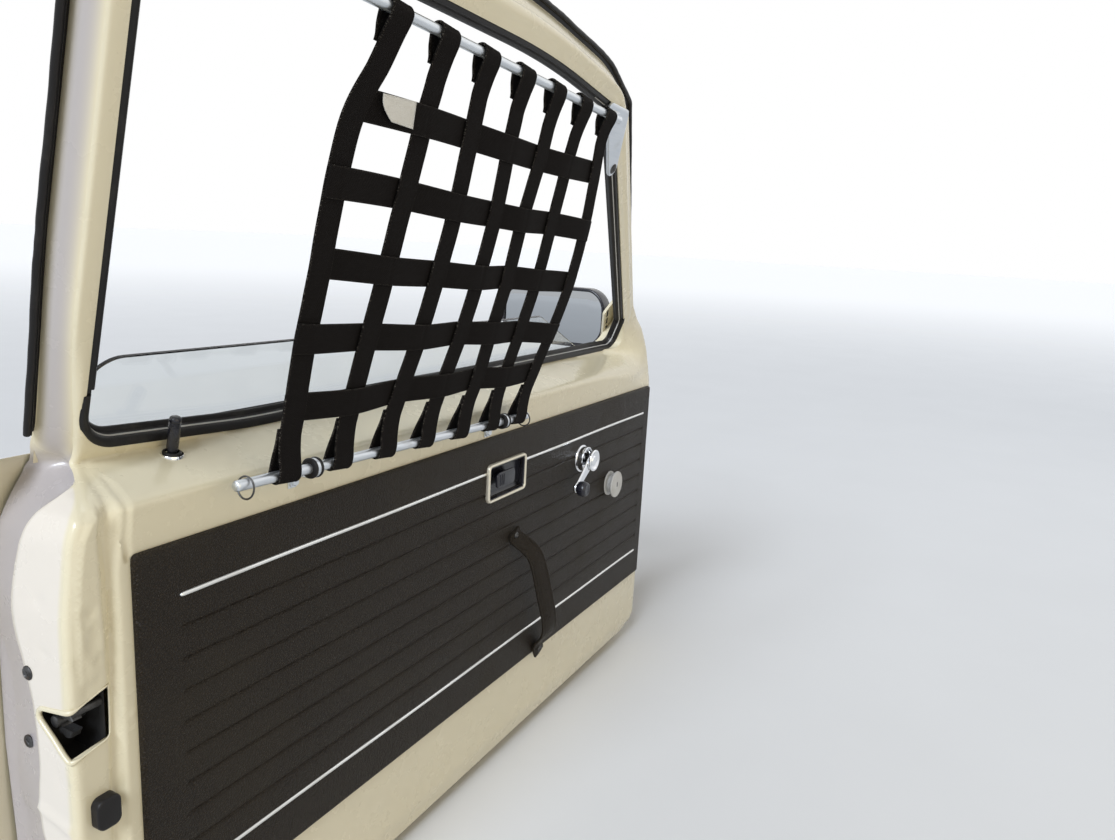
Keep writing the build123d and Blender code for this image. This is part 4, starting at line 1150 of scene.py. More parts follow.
def build_card():
    rear, front, low, high = RELEASE_WINDOW
    rim = np.array((0, 0.6, 1.6, 3.2))
    across = [3.5, 7, 36, 39, 42, 1001, 1004, 1007, 1022, 1026, rear - 1, rear, front, front + 1]
    xs = np.concatenate((np.arange(0, CARD_LENGTH + 0.1, 9.0), rim, CARD_LENGTH - rim, across))
    pleats = [p + d for p in PLEATS for d in (-6, -4, -2.4, -1.5, -0.8, 0, 0.8, 1.5, 2.4, 4, 6)]
    zs = np.concatenate((np.arange(-CARD_HEIGHT, 0.1, 4.5), pleats, -rim, rim - CARD_HEIGHT,
                         [low - 1, low, high, high + 1]))
    xs, zs = (np.unique(np.round(spots, 2)) for spots in (xs, zs))
    gx, gz = np.meshgrid(xs, zs)
    inset = 5.0
    cx, cz = np.clip(gx, inset, CARD_LENGTH - inset), np.clip(gz, inset - CARD_HEIGHT, -inset)
    ex, ez = gx - cx, gz - cz
    reach = np.maximum(np.abs(ex), np.abs(ez))
    scale = np.where((ex != 0) & (ez != 0), reach / np.maximum(np.hypot(ex, ez), 1e-9), 1)
    px, pz = cx + ex * scale, cz + ez * scale
    border = np.where(reach > 0, inset - reach,
                      np.minimum.reduce((gx, CARD_LENGTH - gx, -gz, CARD_HEIGHT + gz)))
    puff = np.zeros_like(gx)
    for z in PLEATS:
        pleat = 1.1 * np.exp(-((gz - z) / 1.3) ** 2) + 0.9 * np.exp(-np.abs(gz - z) / 5.0)
        puff += pleat * ease((gx - 37) / 5) * ease((1006 - gx) / 5)
    swell = 0.5 * np.sin(gx * 0.012 + gz * 0.03) + 0.35 * np.sin(gx * 0.031 - gz * 0.017)
    swell = swell + 0.2 * np.sin(gx * 0.083 + gz * 0.05)
    press(swell, gx, gz, ((150, -60, 60, 0.9), (480, -280, 90, 0.9), (820, -40, 70, 0.7),
                          (300, -200, 120, 0.6)))
    turned = np.clip(1 - border / 3.0, 0, 1)
    y = CARD_FACE + puff + swell * 0.45 * ease(border / 30) + 4.6 * (1 - np.sqrt(1 - turned ** 2))
    grid = np.stack((px, y, pz), -1)
    faces = []
    for i, j in np.ndindex(len(zs) - 1, len(xs) - 1):
        mx, mz = (xs[j] + xs[j + 1]) / 2, (zs[i] + zs[i + 1]) / 2
        if not (rear < mx < front and low < mz < high):
            k = i * len(xs) + j
            faces.append((k, k + 1, k + 1 + len(xs), k + len(xs)))
    obj = make("trim_card_vinyl", grid.reshape(-1, 3), faces, finish("vinyl"), 60, flip=(0, 1, 0))
    place(obj, "door", "black_vinyl", "trim_card")


def build_strips():
    stack = Stack()
    for rear, front, z in ((39, 492.5, -44.5), (587.5, 1004, -44.5), (39, 1004, -297)):
        xs = np.concatenate(([rear, rear + 0.8, rear + 2.5], np.arange(rear + 5, front - 4, 14.0),
                             [front - 2.5, front - 0.8, front]))
        size = np.concatenate(([0.15, 0.7, 0.96], np.ones(len(xs) - 6), [0.96, 0.7, 0.15]))
        profile = np.array([(1.9 * math.cos(a), -1.7 * math.sin(a)) for a in np.linspace(0, math.pi, 9)]
                           + [(-1.9, 0.6), (1.9, 0.6)])
        sag = 0.35 * np.sin(xs * 0.017 + z)
        stack.loft([[(x, CARD_FACE + v * s, middle + u * s) for u, v in profile]
                    for x, middle, s in zip(xs, z + sag, size)])
    stack.piece("card_strips_bright", "bright", "bright_trim", "card_strips", smooth=60)


def ring_loop(cx, cz, width, height, radius, steps=5):
    """Rounded box about a centre."""
    return rounded_box(width, height, radius, steps) + np.array((cx, cz))


def build_release():
    stack = Stack()
    outer = ((0, -2.8), (0, -5.8), (0.6, -7.2), (1.6, -7.9), (2.8, -7.7), (3.6, -6.8), (4.0, -5.4),
             (4.0, -1.0))
    stack.loft([np.insert(ring_loop(*RELEASE, 94 - 2 * d, 50 - 2 * d, max(7 - d, 1)), 1, y, axis=1)
                for d, y in outer], False, False)
    stack.piece("release_bezel_rim", "champagne", "bright_trim", "release_bezel", smooth=60)
    cup = Stack()
    inner = ((0.0, -6.2), (0.8, -6.3), (1.4, -5.0), (1.8, 0.4), (3.2, 1.4), (8, 1.6))
    cup.loft([np.insert(ring_loop(*RELEASE, 85.4 - 2 * d, 41.4 - 2 * d, max(4 - d, 1)), 1, y, axis=1)
              for d, y in inner], first=False)
    cup.piece("release_cup_tray", "dark", "dark_plastic", "release_cup")
    lever = Stack()
    plate(lever, ring_loop(533, -57.0, 44, 20, 6), -8.6, -5.6, 1.4)
    plate(lever, ring_loop(549, -57.5, 9, 11, 2), -5.6, 1.2, 0.6)
    for x in (518, 522.5, 527):
        plate(lever, ring_loop(x, -57.0, 1.6, 15, 0.7), -9.4, -8.2, 0.5)
    lever.piece("release_paddle", "dark", "dark_plastic", "release_lever", smooth=40)


def build_winder():
    x, z = 762.5, -78.0
    reach, angle = 56, math.radians(216)
    tip = (x + reach * math.cos(angle), z + reach * math.sin(angle))
    plate_stack = Stack()
    plate_stack.lathe((x, CARD_FACE, z), (0, -1, 0), [
        (21, -0.5), (21, 1.2), (20.6, 1.9), (19.4, 2.1), (18.7, 2.4), (18.5, 6.0), (18.9, 9.6),
        (18.7, 10.6), (18.0, 11.0), (17.3, 10.6), (16.8, 6.2), (12, 5.4), (0, 5.4)], 48)
    plate_stack.piece("winder_plate", "chrome", "bright_trim", "winder_escutcheon", smooth=40)
    crank = Stack()
    front = CARD_FACE - 24
    crank.lathe((x, CARD_FACE, z), (0, -1, 0), [
        (9.6, 5.6), (9.2, 12), (10.2, 17), (14.6, 19.4), (16.3, 20.6), (16.5, 22.6), (15.8, 23.7),
        (14.2, 24.0), (12.6, 23.4), (11.6, 22.2), (7.4, 21.8), (6.8, 22.9), (5.6, 23.4), (0, 23.5)], 44)
    along = np.array((math.cos(angle), 0, math.sin(angle)))
    side = np.array((-math.sin(angle), 0, math.cos(angle)))
    runs = np.linspace(4, reach, 16)
    width = np.interp(runs, [4, 16, 34, 50, reach], [9.8, 9.2, 7.4, 7.0, 7.4])
    depth = np.interp(runs, [4, 16, reach], [5.0, 5.0, 4.8])
    grid = []
    for r, w, d in zip(runs, width, depth):
        centre = np.array((x, front + 4.1, z)) + along * r
        ring = []
        for a in turns(20):
            across = w * math.copysign(abs(math.cos(a)) ** 0.7, math.cos(a))
            deep = d / 2 - d / 2 * math.copysign(abs(math.sin(a)) ** 0.8, math.sin(a))
            ring.append(centre + side * across + np.array((0, deep, 0)))
        grid.append(ring)
    crank.loft(grid)
    crank.lathe((tip[0], front + 9.0, tip[1]), (0, -1, 0),
                [(7.4, 0), (7.9, 1), (7.9, 4.0), (7.0, 4.8), (0, 4.8)], 28)
    crank.piece("winder_crank", "chrome", "chrome", "winder_handle")
    knob = Stack()
    knob.lathe((tip[0], front + 3.7, tip[1]), (0, -1, 0), [
        (7.0, 0), (9.0, 0.5), (10.6, 2.2), (11.3, 5.0), (11.4, 9.0), (10.8, 12.4), (9.4, 14.2), (7.4, 14.8),
        (6.4, 14.3), (0, 14.2)], 40)
    knob.piece("winder_grip", "dark", "dark_plastic", "winder_knob", smooth=60)


def build_disc():
    stack = Stack()
    turned = [(20, -0.4), (20, 1.2), (19.3, 1.9), (13.0, 2.0), (12.7, 10.2), (20.4, 10.6), (21.3, 11.2),
              (21.5, 12.6), (21.2, 13.8), (20.2, 14.4), (18.6, 14.1), (17.4, 14.4), (3.0, 14.5), (0, 14.5)]
    stack.lathe((DISC[0], CARD_FACE, DISC[1]), (0, -1, 0), turned, 56)
    stack.piece("disc_knob_turned", "pale", "pale_plastic", "disc_knob", smooth=45)
    slot = Stack()
    plate(slot, ring_loop(*DISC, 3.4, 8.6, 1.2), CARD_FACE - 14.62, CARD_FACE - 14.0, 0.2, 1)
    slot.piece("disc_knob_slot", "dark", "dark_plastic", smooth=45)


def build_pull():
    top, foot = np.array((569.0, -150.0)), np.array((646.0, -336.0))
    rise = np.linalg.norm(top - foot)
    up = (top - foot) / rise
    face = CARD_FACE - 0.4
    line = smooth_line([(face - 2.2, -13), (face - 2.4, 0), (face - 8, 12), (face - 24, 32),
                        (face - 31, 60), (face - 31.5, 110), (face - 31, rise - 46),
                        (face - 27, rise - 20), (face - 14, rise - 6), (face - 4.2, rise + 1),
                        (face - 2.2, rise + 6), (face - 2.0, rise + 13)], 5)
    path = np.array([(foot[0] + up[0] * s, y, foot[1] + up[1] * s) for y, s in line])
    run = heading(path)
    side = np.tile((up[1], 0, -up[0]), (len(path), 1))
    normal = np.cross(run, side)
    twist = -0.62 * np.sin(np.linspace(0, math.pi, len(path)))[:, None] ** 0.8
    lean = side * np.cos(twist) + normal * np.sin(twist)
    face_up = np.cross(run, lean)
    lower = [(-12, -0.8), (-11.4, -1.7), (-9.6, -1.9), (-8.8, -1.4), (-8.0, -1.9)]
    lower = lower + [(0, -2.3)] + mirrored(lower)
    profile = lower + [(x, -y) for x, y in reversed(lower)]
    stack = Stack()
    stack.sweep(path, lean, face_up, profile)
    stack.piece("pull_strap_loop", "vinyl", "black_vinyl", "pull_strap")
    ends = [(foot[0] + up[0] * s, face - 4.4, foot[1] + up[1] * s) for s in (-7.0, rise + 7.0)]
    repeat("strap_screws", cross_head(4.2), ends, [(0, -1, 0)] * 2, "steel", "black_steel")


# Lock, latch and buffer

def build_plunger():
    x, y = 76.0, 46.5
    z = LEDGE_FOOT + 44.5 / LEDGE_SLOPE
    tilt = math.radians(11.5)
    way = np.array((0, -math.sin(tilt), math.cos(tilt)))
    stem = Stack()
    marks = [(3.8, -14), (3.9, 3), (4.8, 4.2), (4.9, 24)]
    for k in range(3):
        marks += [(4.9, 24.4 + k * 1.6), (4.4, 24.8 + k * 1.6), (4.4, 25.4 + k * 1.6),
                  (4.9, 25.8 + k * 1.6)]
    marks += [(5.0, 29.4), (5.0, 31.2), (4.5, 32.6), (3.2, 33.4), (0, 33.6)]
    stem.lathe((x, y, z), way, marks, 28)
    stem.piece("lock_plunger_stem", "dark", "black_rubber", "lock_plunger")
    ring = Stack()
    ring.lathe((x, y, z), way, [(5.4, -1), (5.3, 1.8), (5.8, 2.6), (6.8, 2.6), (7.6, 2.0), (7.9, 0.6),
                                (7.9, -3)], 32)
    bright = Stack()
    bright.lathe((x, y, z), way, [(8.0, -3), (8.0, 0.2), (8.5, 0.9), (9.3, 0.9), (9.8, 0.2), (9.9, -3)], 36)
    bright.piece("plunger_bright_ring", "chrome", "chrome")
    ring.piece("lock_grommet_ring", "rubber", "black_rubber", "lock_grommet")


def build_latch():
    z, rear = LATCH_Z, -48.8
    box = Stack()
    plates = [
        [(-20, 12, z - 33), (-20, 51, z - 33), (-20, 51, z + 31), (-20, 12, z + 31)],
        [(rear, 51, z - 33), (-20, 51, z - 33), (-20, 51, z + 31), (rear, 51, z + 31)],
        [(rear, 13, z + 31), (-20, 12, z + 31), (-20, 51, z + 31), (rear, 51, z + 31)],
        [(rear, 13, z - 33), (-20, 12, z - 33), (-20, 51, z - 33), (rear, 51, z - 33)],
    ]
    for corners in plates:
        a, b, c, d = np.array(corners, float)
        s, t = np.meshgrid(np.linspace(0, 1, 7), np.linspace(0, 1, 7), indexing="ij")
        s, t = s[..., None], t[..., None]
        grid = a * (1 - s) * (1 - t) + b * s * (1 - t) + c * s * t + d * (1 - s) * t
        box.add(grid, grid_faces(7, 7))
    obj = box.make("latch_box", finish("pit"), 30)
    obj.modifiers.new("wall", "SOLIDIFY").thickness = 0.0009
    place(obj, "door", "black_steel", "latch_case")
    claw = Stack()
    centre = np.array((28.0, z))
    ring = []
    for a in np.linspace(0.42, 2 * math.pi - 0.42, 30):
        wobble = 12.0 - 1.4 * (abs(math.sin(a * 2.5)) > 0.85)
        ring.append(centre + wobble * np.array((-math.cos(a), math.sin(a))))
    ring += [centre + np.array((3.0, -4.4)), centre + np.array((4.4, 0)), centre + np.array((3.0, 4.4))]
    ring = np.array(ring)
    claw.loft([np.insert(centre + (ring - centre) * s, 0, rear + x, axis=1)
               for x, s in ((7, 0.95), (7.6, 1), (14.4, 1), (15, 0.95))])
    claw.lathe((rear + 3.5, 36, z), (1, 0, 0), [(3.0, 0), (4.6, 0.8), (5.0, 2.0), (5.0, 23.0), (0, 23)], 20)
    claw.lathe((rear + 5.0, 15, z + 13), (1, 0, 0), [(2.4, 0), (3.4, 0.7), (3.4, 22), (0, 22)], 16)
    claw.piece("latch_fork", "steel", "zinc_steel", "latch_claw", smooth=35)
    stop = Stack()
    loop = ring_loop(-30, -197, 20, 26, 6.5, 6)
    plate(stop, loop, -3.0, 6.6, 2.2, 4)
    plate(stop, ring_loop(-30, -197, 9, 13, 4), -2.2, 2.0, 0.5)
    stop.piece("rubber_buffer", "rubber", "black_rubber", "bump_stop", smooth=45)


def build_screws():
    shut = [(-51.0, 54.0, -88.4), (-37.0, 83.5, -161.8)]
    repeat("shut_face_screws", cross_head(5.6), shut, [(-1, 0, 0, 0.4), (-1, 0, 0, 1.0)], "steel",
           "black_steel", 0.03, 4)
    bolts, aims = [], []
    for z in HINGE_HEIGHTS:
        for k in range(3):
            a = math.pi + k * 2 * math.pi / 3
            bolts.append((1054.0, 33 + 17 * math.cos(a), z + 17 * math.sin(a)))
            aims.append((1, 0, 0, 0.3 * k))
    repeat("hinge_bolts", hex_head(6.2, 6.0), bolts, aims, "zinc", "zinc_steel", 0.0, 2)


# Window net

def rod_point(ends, a):
    """Height of a rod's axis at a place along the door."""
    (x0, y0), (x1, y1) = ends
    return y0 + (y1 - y0) * (a - x0) / (x1 - x0)


def strap_ends(i):
    """Foot and head of upright i, on the rods' axes."""
    low, high = STRAP_FEET[0] + STRAP_FEET[1] * i, STRAP_HEADS[0] + STRAP_HEADS[1] * i
    return (low, rod_point(LOWER_ROD, low)), (high, rod_point(UPPER_ROD, high))


def bow(i, b):
    """How far a strap stands ahead of its straight line at height b."""
    (_, low), (_, high) = strap_ends(i)
    line = smooth_line([(low, 0), *zip(BOW_AT, STRAP_BOW[i]), (high, 0)], 5)
    return np.interp(b, line[:, 0], line[:, 1])


def upright_at(i, b):
    """Where upright i stands along the door at height b."""
    (x0, y0), (x1, y1) = strap_ends(i)
    return x0 + (x1 - x0) * (b - y0) / (y1 - y0) + bow(i, b)


def row_fall(row):
    """Place where a cross strap starts, and its slope."""
    start = upright_at(0, ROWS[row][0])
    return start, (ROWS[row][1] - ROWS[row][0]) / (upright_at(6, ROWS[row][1]) - start)


def row_at(i, row):
    """Where cross strap row meets upright i."""
    start, fall = row_fall(row)
    b = ROWS[row][0] + fall * (strap_ends(i)[0][0] + 30 - start)
    a = upright_at(i, b)
    return a, ROWS[row][0] + fall * (a - start)


def webbing_profile():
    """Section of the webbing, thicker near its sewn edges."""
    half, t = WEBBING / 2, PLY / 2
    top = [(-half + 0.5, t * 0.75), (-half + 1.6, t * 1.12), (-half + 3, t * 0.95), (-half / 2, t)]
    top = top + [(0, t)] + mirrored(top)
    return np.array([(-half, 0), *top, (half, 0), *((x, -y) for x, y in reversed(top))])


def build_uprights():
    stack = Stack()
    stitches, aims = [], []
    for i in range(7):
        foot, head = strap_ends(i)
        length = math.hypot(head[0] - foot[0], head[1] - foot[1])
        run = np.array(((head[0] - foot[0]) / length, (head[1] - foot[1]) / length))
        turn = ROD_RADIUS + 0.4 + PLY / 2
        rows = [(row_at(i, row)[1] - foot[1], row) for row in range(len(ROWS))]
        profile_line = [(42.0, -2.9), (30.0, -3.2), (15.0, -5.2), (6.0, -turn * 0.93)]
        profile_line += [(-turn * math.sin(a), -turn * math.cos(a))
                         for a in np.linspace(0.1, math.pi - 0.1, 11)]
        profile_line += [(6.0, turn * 0.93), (15.0, 3.4), (26.0, 1.2)]
        for s in np.arange(36.0, length - 34.0, 6.0):
            weave = sum((-1 if (i + row) % 2 else 1) * 0.5 * math.exp(-((s - rise) / 15.0) ** 2)
                        for rise, row in rows)
            profile_line.append((s, weave))
        profile_line += [(length - 26.0, 1.2), (length - 15.0, 3.4), (length - 6.0, turn * 0.93)]
        profile_line += [(length + turn * math.sin(a), turn * math.cos(a))
                         for a in np.linspace(0.1, math.pi - 0.1, 11)]
        profile_line += [(length - 6.0, -turn * 0.93), (length - 14.0, -5.2), (length - 22.0, -3.2),
                         (length - 27.0, -2.9)]
        line = smooth_line(profile_line, 4.0)
        height = foot[1] + run[1] * line[:, 0]
        path = on_net(foot[0] + run[0] * line[:, 0] + bow(i, height), height, line[:, 1])
        side = np.tile(along_net(run[1], -run[0], 0), (len(path), 1))
        way = heading(path)
        normal = np.cross(side, way)
        sway = 0.7 * np.sin(line[:, 0] * 0.021 + i * 1.7)[:, None]
        stack.sweep(path + side * sway, side, normal, webbing_profile(), uv=True)
        marks = evenly(path + side * sway - side * (WEBBING / 2 - 1.1), 2.6, False)
        climb = np.cumsum(np.linalg.norm(np.diff(marks, axis=0, prepend=marks[:1]), axis=1))
        marks = marks[(climb > rows[0][0] + 60) & (climb < length + 10)]
        stitches += list(marks)
        aims += [tuple(-side[0])] * len(marks)
    stack.webbing("net_upright_straps", "net_uprights")
    return stitches, aims


def build_rows():
    stack = Stack()
    side_gap = PLY + 0.3
    for row, (rise, _) in enumerate(ROWS):
        knots = []
        start, fall = row_fall(row)
        for i in range(7):
            a, _ = row_at(i, row)
            depth = side_gap if (i + row) % 2 else -side_gap
            knots += [(a - 11, depth), (a, depth * 1.02), (a + 11, depth)]
            if i == 0:
                knots[0] = (a - ROW_END + 2, depth)
                knots.insert(0, (a - ROW_END, depth * 0.96))
            if i == 6:
                knots[-1] = (a + ROW_END - 2, depth)
                knots.append((a + ROW_END, depth * 0.96))
        line = smooth_line(knots, 3.5)
        b = rise + fall * (line[:, 0] - start) + 1.3 * np.sin((line[:, 0] - start) * 0.016 + row) - 0.6
        path = on_net(line[:, 0], b, line[:, 1])
        up = np.tile(along_net(0, 1, 0), (len(path), 1))
        way = heading(path)
        up = unit_rows(up - way * (up * way).sum(1)[:, None])
        stack.sweep(path, up, np.cross(way, up), webbing_profile(), uv=True)
        spots = stack.verts[-1]
        y, z = spots[:, 1] - NET_FOOT[0], spots[:, 2] - NET_FOOT[1]
        b = z * math.cos(NET_LEAN) - y * math.sin(NET_LEAN)
        before, beyond = (13.6, 7.5) if row % 2 else (8.5, 13.6)
        spots[:, 0] = np.clip(spots[:, 0], upright_at(0, b) - before, upright_at(6, b) + beyond)
    stack.webbing("net_cross_straps", "net_crosses")


def build_stitches(stitches, aims):
    part = Stack()
    sides, ups = (np.array([way] * 3) for way in ((0, 1.0, 0), (0, 0, 1.0)))
    part.sweep(np.array([(-0.9, 0, 0), (0, 0, 0.35), (0.9, 0, 0)]), sides, ups,
               rounded_box(0.6, 0.5, 0.2, 1))
    repeat("net_edge_threads", part, stitches, aims, "thread", "black_webbing", 0.3, 11)


def rod_axis(ends):
    start, end = on_net(*ends[0], 0), on_net(*ends[1], 0)
    way = (end - start) / np.linalg.norm(end - start)
    return start, end, way


def build_rods():
    for name, ends, node in (("net_rod_lower_bar", LOWER_ROD, "net_rod_lower"),
                             ("net_rod_upper_bar", UPPER_ROD, "net_rod_upper")):
        start, end, way = rod_axis(ends)
        length = np.linalg.norm(end - start)
        stack = Stack()
        r = ROD_RADIUS
        marks = [(0, 0), (r - 1.6, 0.1), (r - 0.7, 0.6), (r - 0.1, 1.8), (r, 3.0)]
        marks += [(r, h) for h in np.linspace(10, length - 10, 24)]
        marks += [(r, length - 3), (r - 0.1, length - 1.8), (r - 0.7, length - 0.6), (0, length)]
        stack.lathe(start, way, marks, 28)
        stack.piece(name, "zinc", "zinc_steel", node)
    rings, ring_radius = Stack(), 9.4
    for a, tilt in ((89.0, 0.5), (548.0, -0.3)):
        centre = on_net(a, rod_point(LOWER_ROD, a) - 3.4, 0)
        _, _, way = rod_axis(LOWER_ROD)
        plane_up = unit_rows(np.array([(0.25 * math.sin(tilt), 0.3, 1.0)]))[0]
        plane_side = unit_rows(np.cross(way, plane_up)[None])[0]
        t = turns(40)
        path = centre + ring_radius * (np.cos(t)[:, None] * plane_up + np.sin(t)[:, None] * plane_side)
        across = np.tile(np.cross(plane_up, plane_side), (len(path), 1))
        wire = [(0.85 * math.cos(k), 0.85 * math.sin(k)) for k in turns(8)]
        rings.sweep(path, (path - centre) / ring_radius, across, wire, closed=True)
    rings.piece("rod_ring_pins", "steel", "black_steel", smooth=60)


def build_clamps():
    bush, band = Stack(), Stack()
    _, _, way = rod_axis(LOWER_ROD)
    heads, aims = [], []
    for a in (166.0, 496.0):
        centre = on_net(a, rod_point(LOWER_ROD, a), 0)
        for shift in (-5.6, 5.6):
            mid = centre + way * shift * 0.62
            bush.lathe(mid - way * 1.9, way, [(ROD_RADIUS + 0.1, 0), (8.4, 0.1), (9.3, 0.8), (9.5, 1.9),
                                              (9.3, 3.0), (8.4, 3.7), (ROD_RADIUS + 0.1, 3.8)], 26)
        band.lathe(centre - way * 2.0, way, [(ROD_RADIUS + 0.2, 0.2), (8.7, 0.2), (8.9, 2.0), (8.7, 3.8),
                                             (ROD_RADIUS + 0.2, 3.8)], 26)
        x, y, z = centre
        tail = [(y + 2.0, z - 8.4), (y + 10, z - 8.6), (0.5, z - 8.8), (1.0, z - 14), (1.0, z - 23)]
        path = np.insert(smooth_line(tail, 2.5), 0, x, axis=1)
        side = np.tile((1.0, 0, 0), (len(path), 1))
        band.sweep(path, side, np.cross(heading(path), side), rounded_box(9.6, 1.6, 0.6, 2))
        heads.append((x, -0.2, z - 17))
        aims.append((0, -1, 0))
    bush.piece("clamp_bushes", "rubber", "black_rubber")
    band.piece("clamp_bands", "zinc", "zinc_steel", "rod_clamps")
    repeat("clamp_bolts", hex_head(4.0, 4.4), heads, aims, "zinc", "zinc_steel")


def tab_outline(discs):
    """Line round discs given as (u, v, radius), pulled tight."""
    rim = np.array([(u + r * math.cos(a), v + r * math.sin(a)) for u, v, r in discs for a in turns(40)])
    loop = []
    for a in np.linspace(0, 2 * math.pi, 721):
        spot = rim[(rim @ (math.cos(a), math.sin(a))).argmax()]
        if not loop or np.linalg.norm(spot - loop[-1]) > 1e-6:
            loop.append(spot)
    return np.array(loop[:-1])


def build_tabs():
    """Tabs that hold the upper rod to the frame, with their screws."""
    heads, aims = [], []
    inward = tuple(along_frame(0, 0, -1))
    for name, node, a, lugs in (("front_rod_tab", "rod_bracket_front", 598.0, [(42.0, 3.0), (74.0, -61.0)]),
                                ("rear_rod_tab", "rod_bracket_rear", 26.0, [(-18.0, -24.0), (2.0, 24.0)])):
        at = on_net(a, rod_point(UPPER_ROD, a), 0)
        u = at[0]
        y, z = at[1] - FRAME_FOOT[0], at[2] - FRAME_FOOT[1]
        v, n = z * math.cos(LEAN) - y * math.sin(LEAN), y * math.cos(LEAN) + z * math.sin(LEAN)
        loop = tab_outline([(u, v + 8, 7.0), *((u + fx, v + fy, 10.0) for fx, fy in lugs)])
        centre = loop.mean(0)
        stack = Stack()
        stack.loft([on_frame(*(centre + (loop - centre) * s).T, depth)
                    for s, depth in ((0.99, -0.1), (1, -0.6), (1, -3.2), (0.965, -3.9), (0.9, -4.0))])
        stack.lathe(on_frame(u, v, -3.8), inward,
                    [(8.0, 0), (8.0, -n - 3.4), (7.4, -n - 1.6), (0, -n - 1.4)], 28)
        stack.piece(name, "zinc", "zinc_steel", node, smooth=45)
        heads.append(on_frame(u + lugs[-1][0], v + lugs[-1][1], -3.9))
        aims.append((*inward, 0.6))
    repeat("tab_screws", cross_head(6.6), heads, aims, "steel", "black_steel")


def build_tag():
    """Blank cloth tag sewn to the top row."""
    corners = np.array([(168, 319), (210.5, 319), (213.5, 297), (183.5, 299)], float)
    s, t = np.meshgrid(np.linspace(0, 1, 16), np.linspace(0, 1, 9))
    top = corners[0] + (corners[1] - corners[0]) * s[..., None]
    low = corners[3] + (corners[2] - corners[3]) * s[..., None]
    flat = top + (low - top) * t[..., None]
    flat[..., 0] -= 5.0 * np.sin(t * math.pi) * (1 - s)
    depth = 4.6 + 0.8 * np.sin(s * 3.4) + 0.5 * np.sin(t * 2.6 + s * 2)
    grid = on_net(flat[..., 0], flat[..., 1], depth)
    obj = make("net_tag", grid.reshape(-1, 3), grid_faces(9, 16), finish("cloth"), 60, flip=(0, 1, 0))
    mod = obj.modifiers.new("ply", "SOLIDIFY")
    mod.thickness = 0.0005
    place(obj, "door", "pale_plastic")


# Mirror, handle and hinges

def build_mirror():
    cy, cz, w, h, front = 187.0, 110.0, 208.0, 104.0, 1000.0
    stack = Stack()
    rings = [(5.2, 7.6, 33), (5.0, 1.0, 33), (4.4, 0.2, 34), (1.6, 0.0, 37), (0.3, 1.2, 38), (0, 3, 38),
             (0, 14, 38), (0, 26, 38), (0.9, 31, 38), (4, 36, 38), (9.5, 40.2, 38), (18, 43.8, 36),
             (30, 45.6, 34)]
    grid = []
    for inset, ahead, corner in rings:
        loop = rounded_box(w - 2 * inset, h - 2 * inset, min(corner, h / 2 - inset - 1), 8)
        grid.append([(front + ahead, cy + y, cz + z) for y, z in loop])
    stack.loft(grid, first=False)
    stack.piece("mirror_shell", "dark", "dark_plastic", "mirror_housing", smooth=60)
    glass = Stack()
    loops = [(5.6, 7.4), (5.4, 5.2), (6.0, 4.4), (8.0, 4.2), (30, 4.0)]
    grid = []
    for inset, ahead in loops:
        loop = rounded_box(w - 2 * inset, h - 2 * inset, max(36 - inset, 8), 8)
        grid.append([(front + ahead, cy + y, cz + z) for y, z in loop])
    glass.loft(grid)
    glass.piece("mirror_pane", "mirror", "mirror_face", "mirror_glass", smooth=40)
    foot = Stack()
    corners = [(955, 37, 6), (1000, -18, 6), (1038, -18, 6), (1038, 34, 6), (1000, 66, 8), (972, 62, 8)]
    loop = rounded_loop(corners, 4.0, 2.0)
    rows = offset_rows(loop, True, (0.0, 0.0, 0.8, 2.2))
    foot.loft([on_frame(*r.T, d) for r, d in zip(rows, (28.0, 31.4, 32.6, 33.0))])
    path = smooth_line([(1021, 70, 88), (1021, 80, 90), (1020, 92, 94)], 3)
    side = np.tile((1.0, 0, 0), (len(path), 1))
    foot.sweep(path, side, np.cross(heading(path), side), rounded_box(23, 19, 6, 5))
    foot.piece("mirror_arm", "skin", "ivory_paint", "mirror_foot", smooth=45)
    slots = Stack()
    for u, v in ((966, 36), (978, 21), (990, 6)):
        loop = rounded_loop([(u - 5, v + 5, 1), (u + 4, v - 7, 1), (u + 8, v - 4, 1), (u - 1, v + 8, 1)],
                            3.0, 1.0)
        slots.loft([on_frame(*loop.T, d) for d in (28.4, 27.9)])
    slots.piece("mirror_foot_slots", "dark", "dark_plastic", smooth=45)


def build_handle():
    base, z = 117.0, -8.0
    stack = Stack()
    pts = [(48, base - 4), (49, base + 12), (54, base + 26), (68, base + 33), (95, base + 35.6),
           (120, base + 36.2), (145, base + 35.6), (172, base + 33), (186, base + 26), (191, base + 12),
           (192, base - 4)]
    line = smooth_line(pts, 4)
    path = np.array([(x, y, z) for x, y in line])
    way = heading(path)
    up = np.tile((0, 0, 1.0), (len(path), 1))
    side = np.cross(way, up)
    width = np.interp(path[:, 0], [48, 60, 120, 180, 192], [1.0, 0.86, 0.8, 0.86, 1.0])
    ring = rounded_box(9.0, 19.0, 4.2, 5)
    across = ring[None, :, :1] * side[:, None]
    stack.loft(path[:, None] + across + (ring[None, :, 1:] * width[:, None, None]) * up[:, None])
    stack.piece("outer_pull", "chrome", "chrome", "outer_handle")
    lock = Stack()
    lock.lathe((19, base - 3.5, z), (0, 1, 0), [(11, 0), (11, 4.6), (10.2, 6.4), (8.2, 7.2), (7.6, 7.0),
                                                (7.0, 9.0), (3.0, 9.6), (2.4, 8.4), (0, 8.4)], 32)
    lock.piece("lock_barrel", "chrome", "chrome", "lock_button", smooth=45)


def dress_nodes():
    """Materials of the solids that are shown as they are."""
    for name, look in (("outer_skin", "skin"), ("hinge_door_leaves", "hinge"),
                       ("hinge_pillar_leaves", "hinge"), ("hinge_pins", "zinc")):
        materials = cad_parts[name].data.materials
        materials.clear()
        materials.append(finish(look))


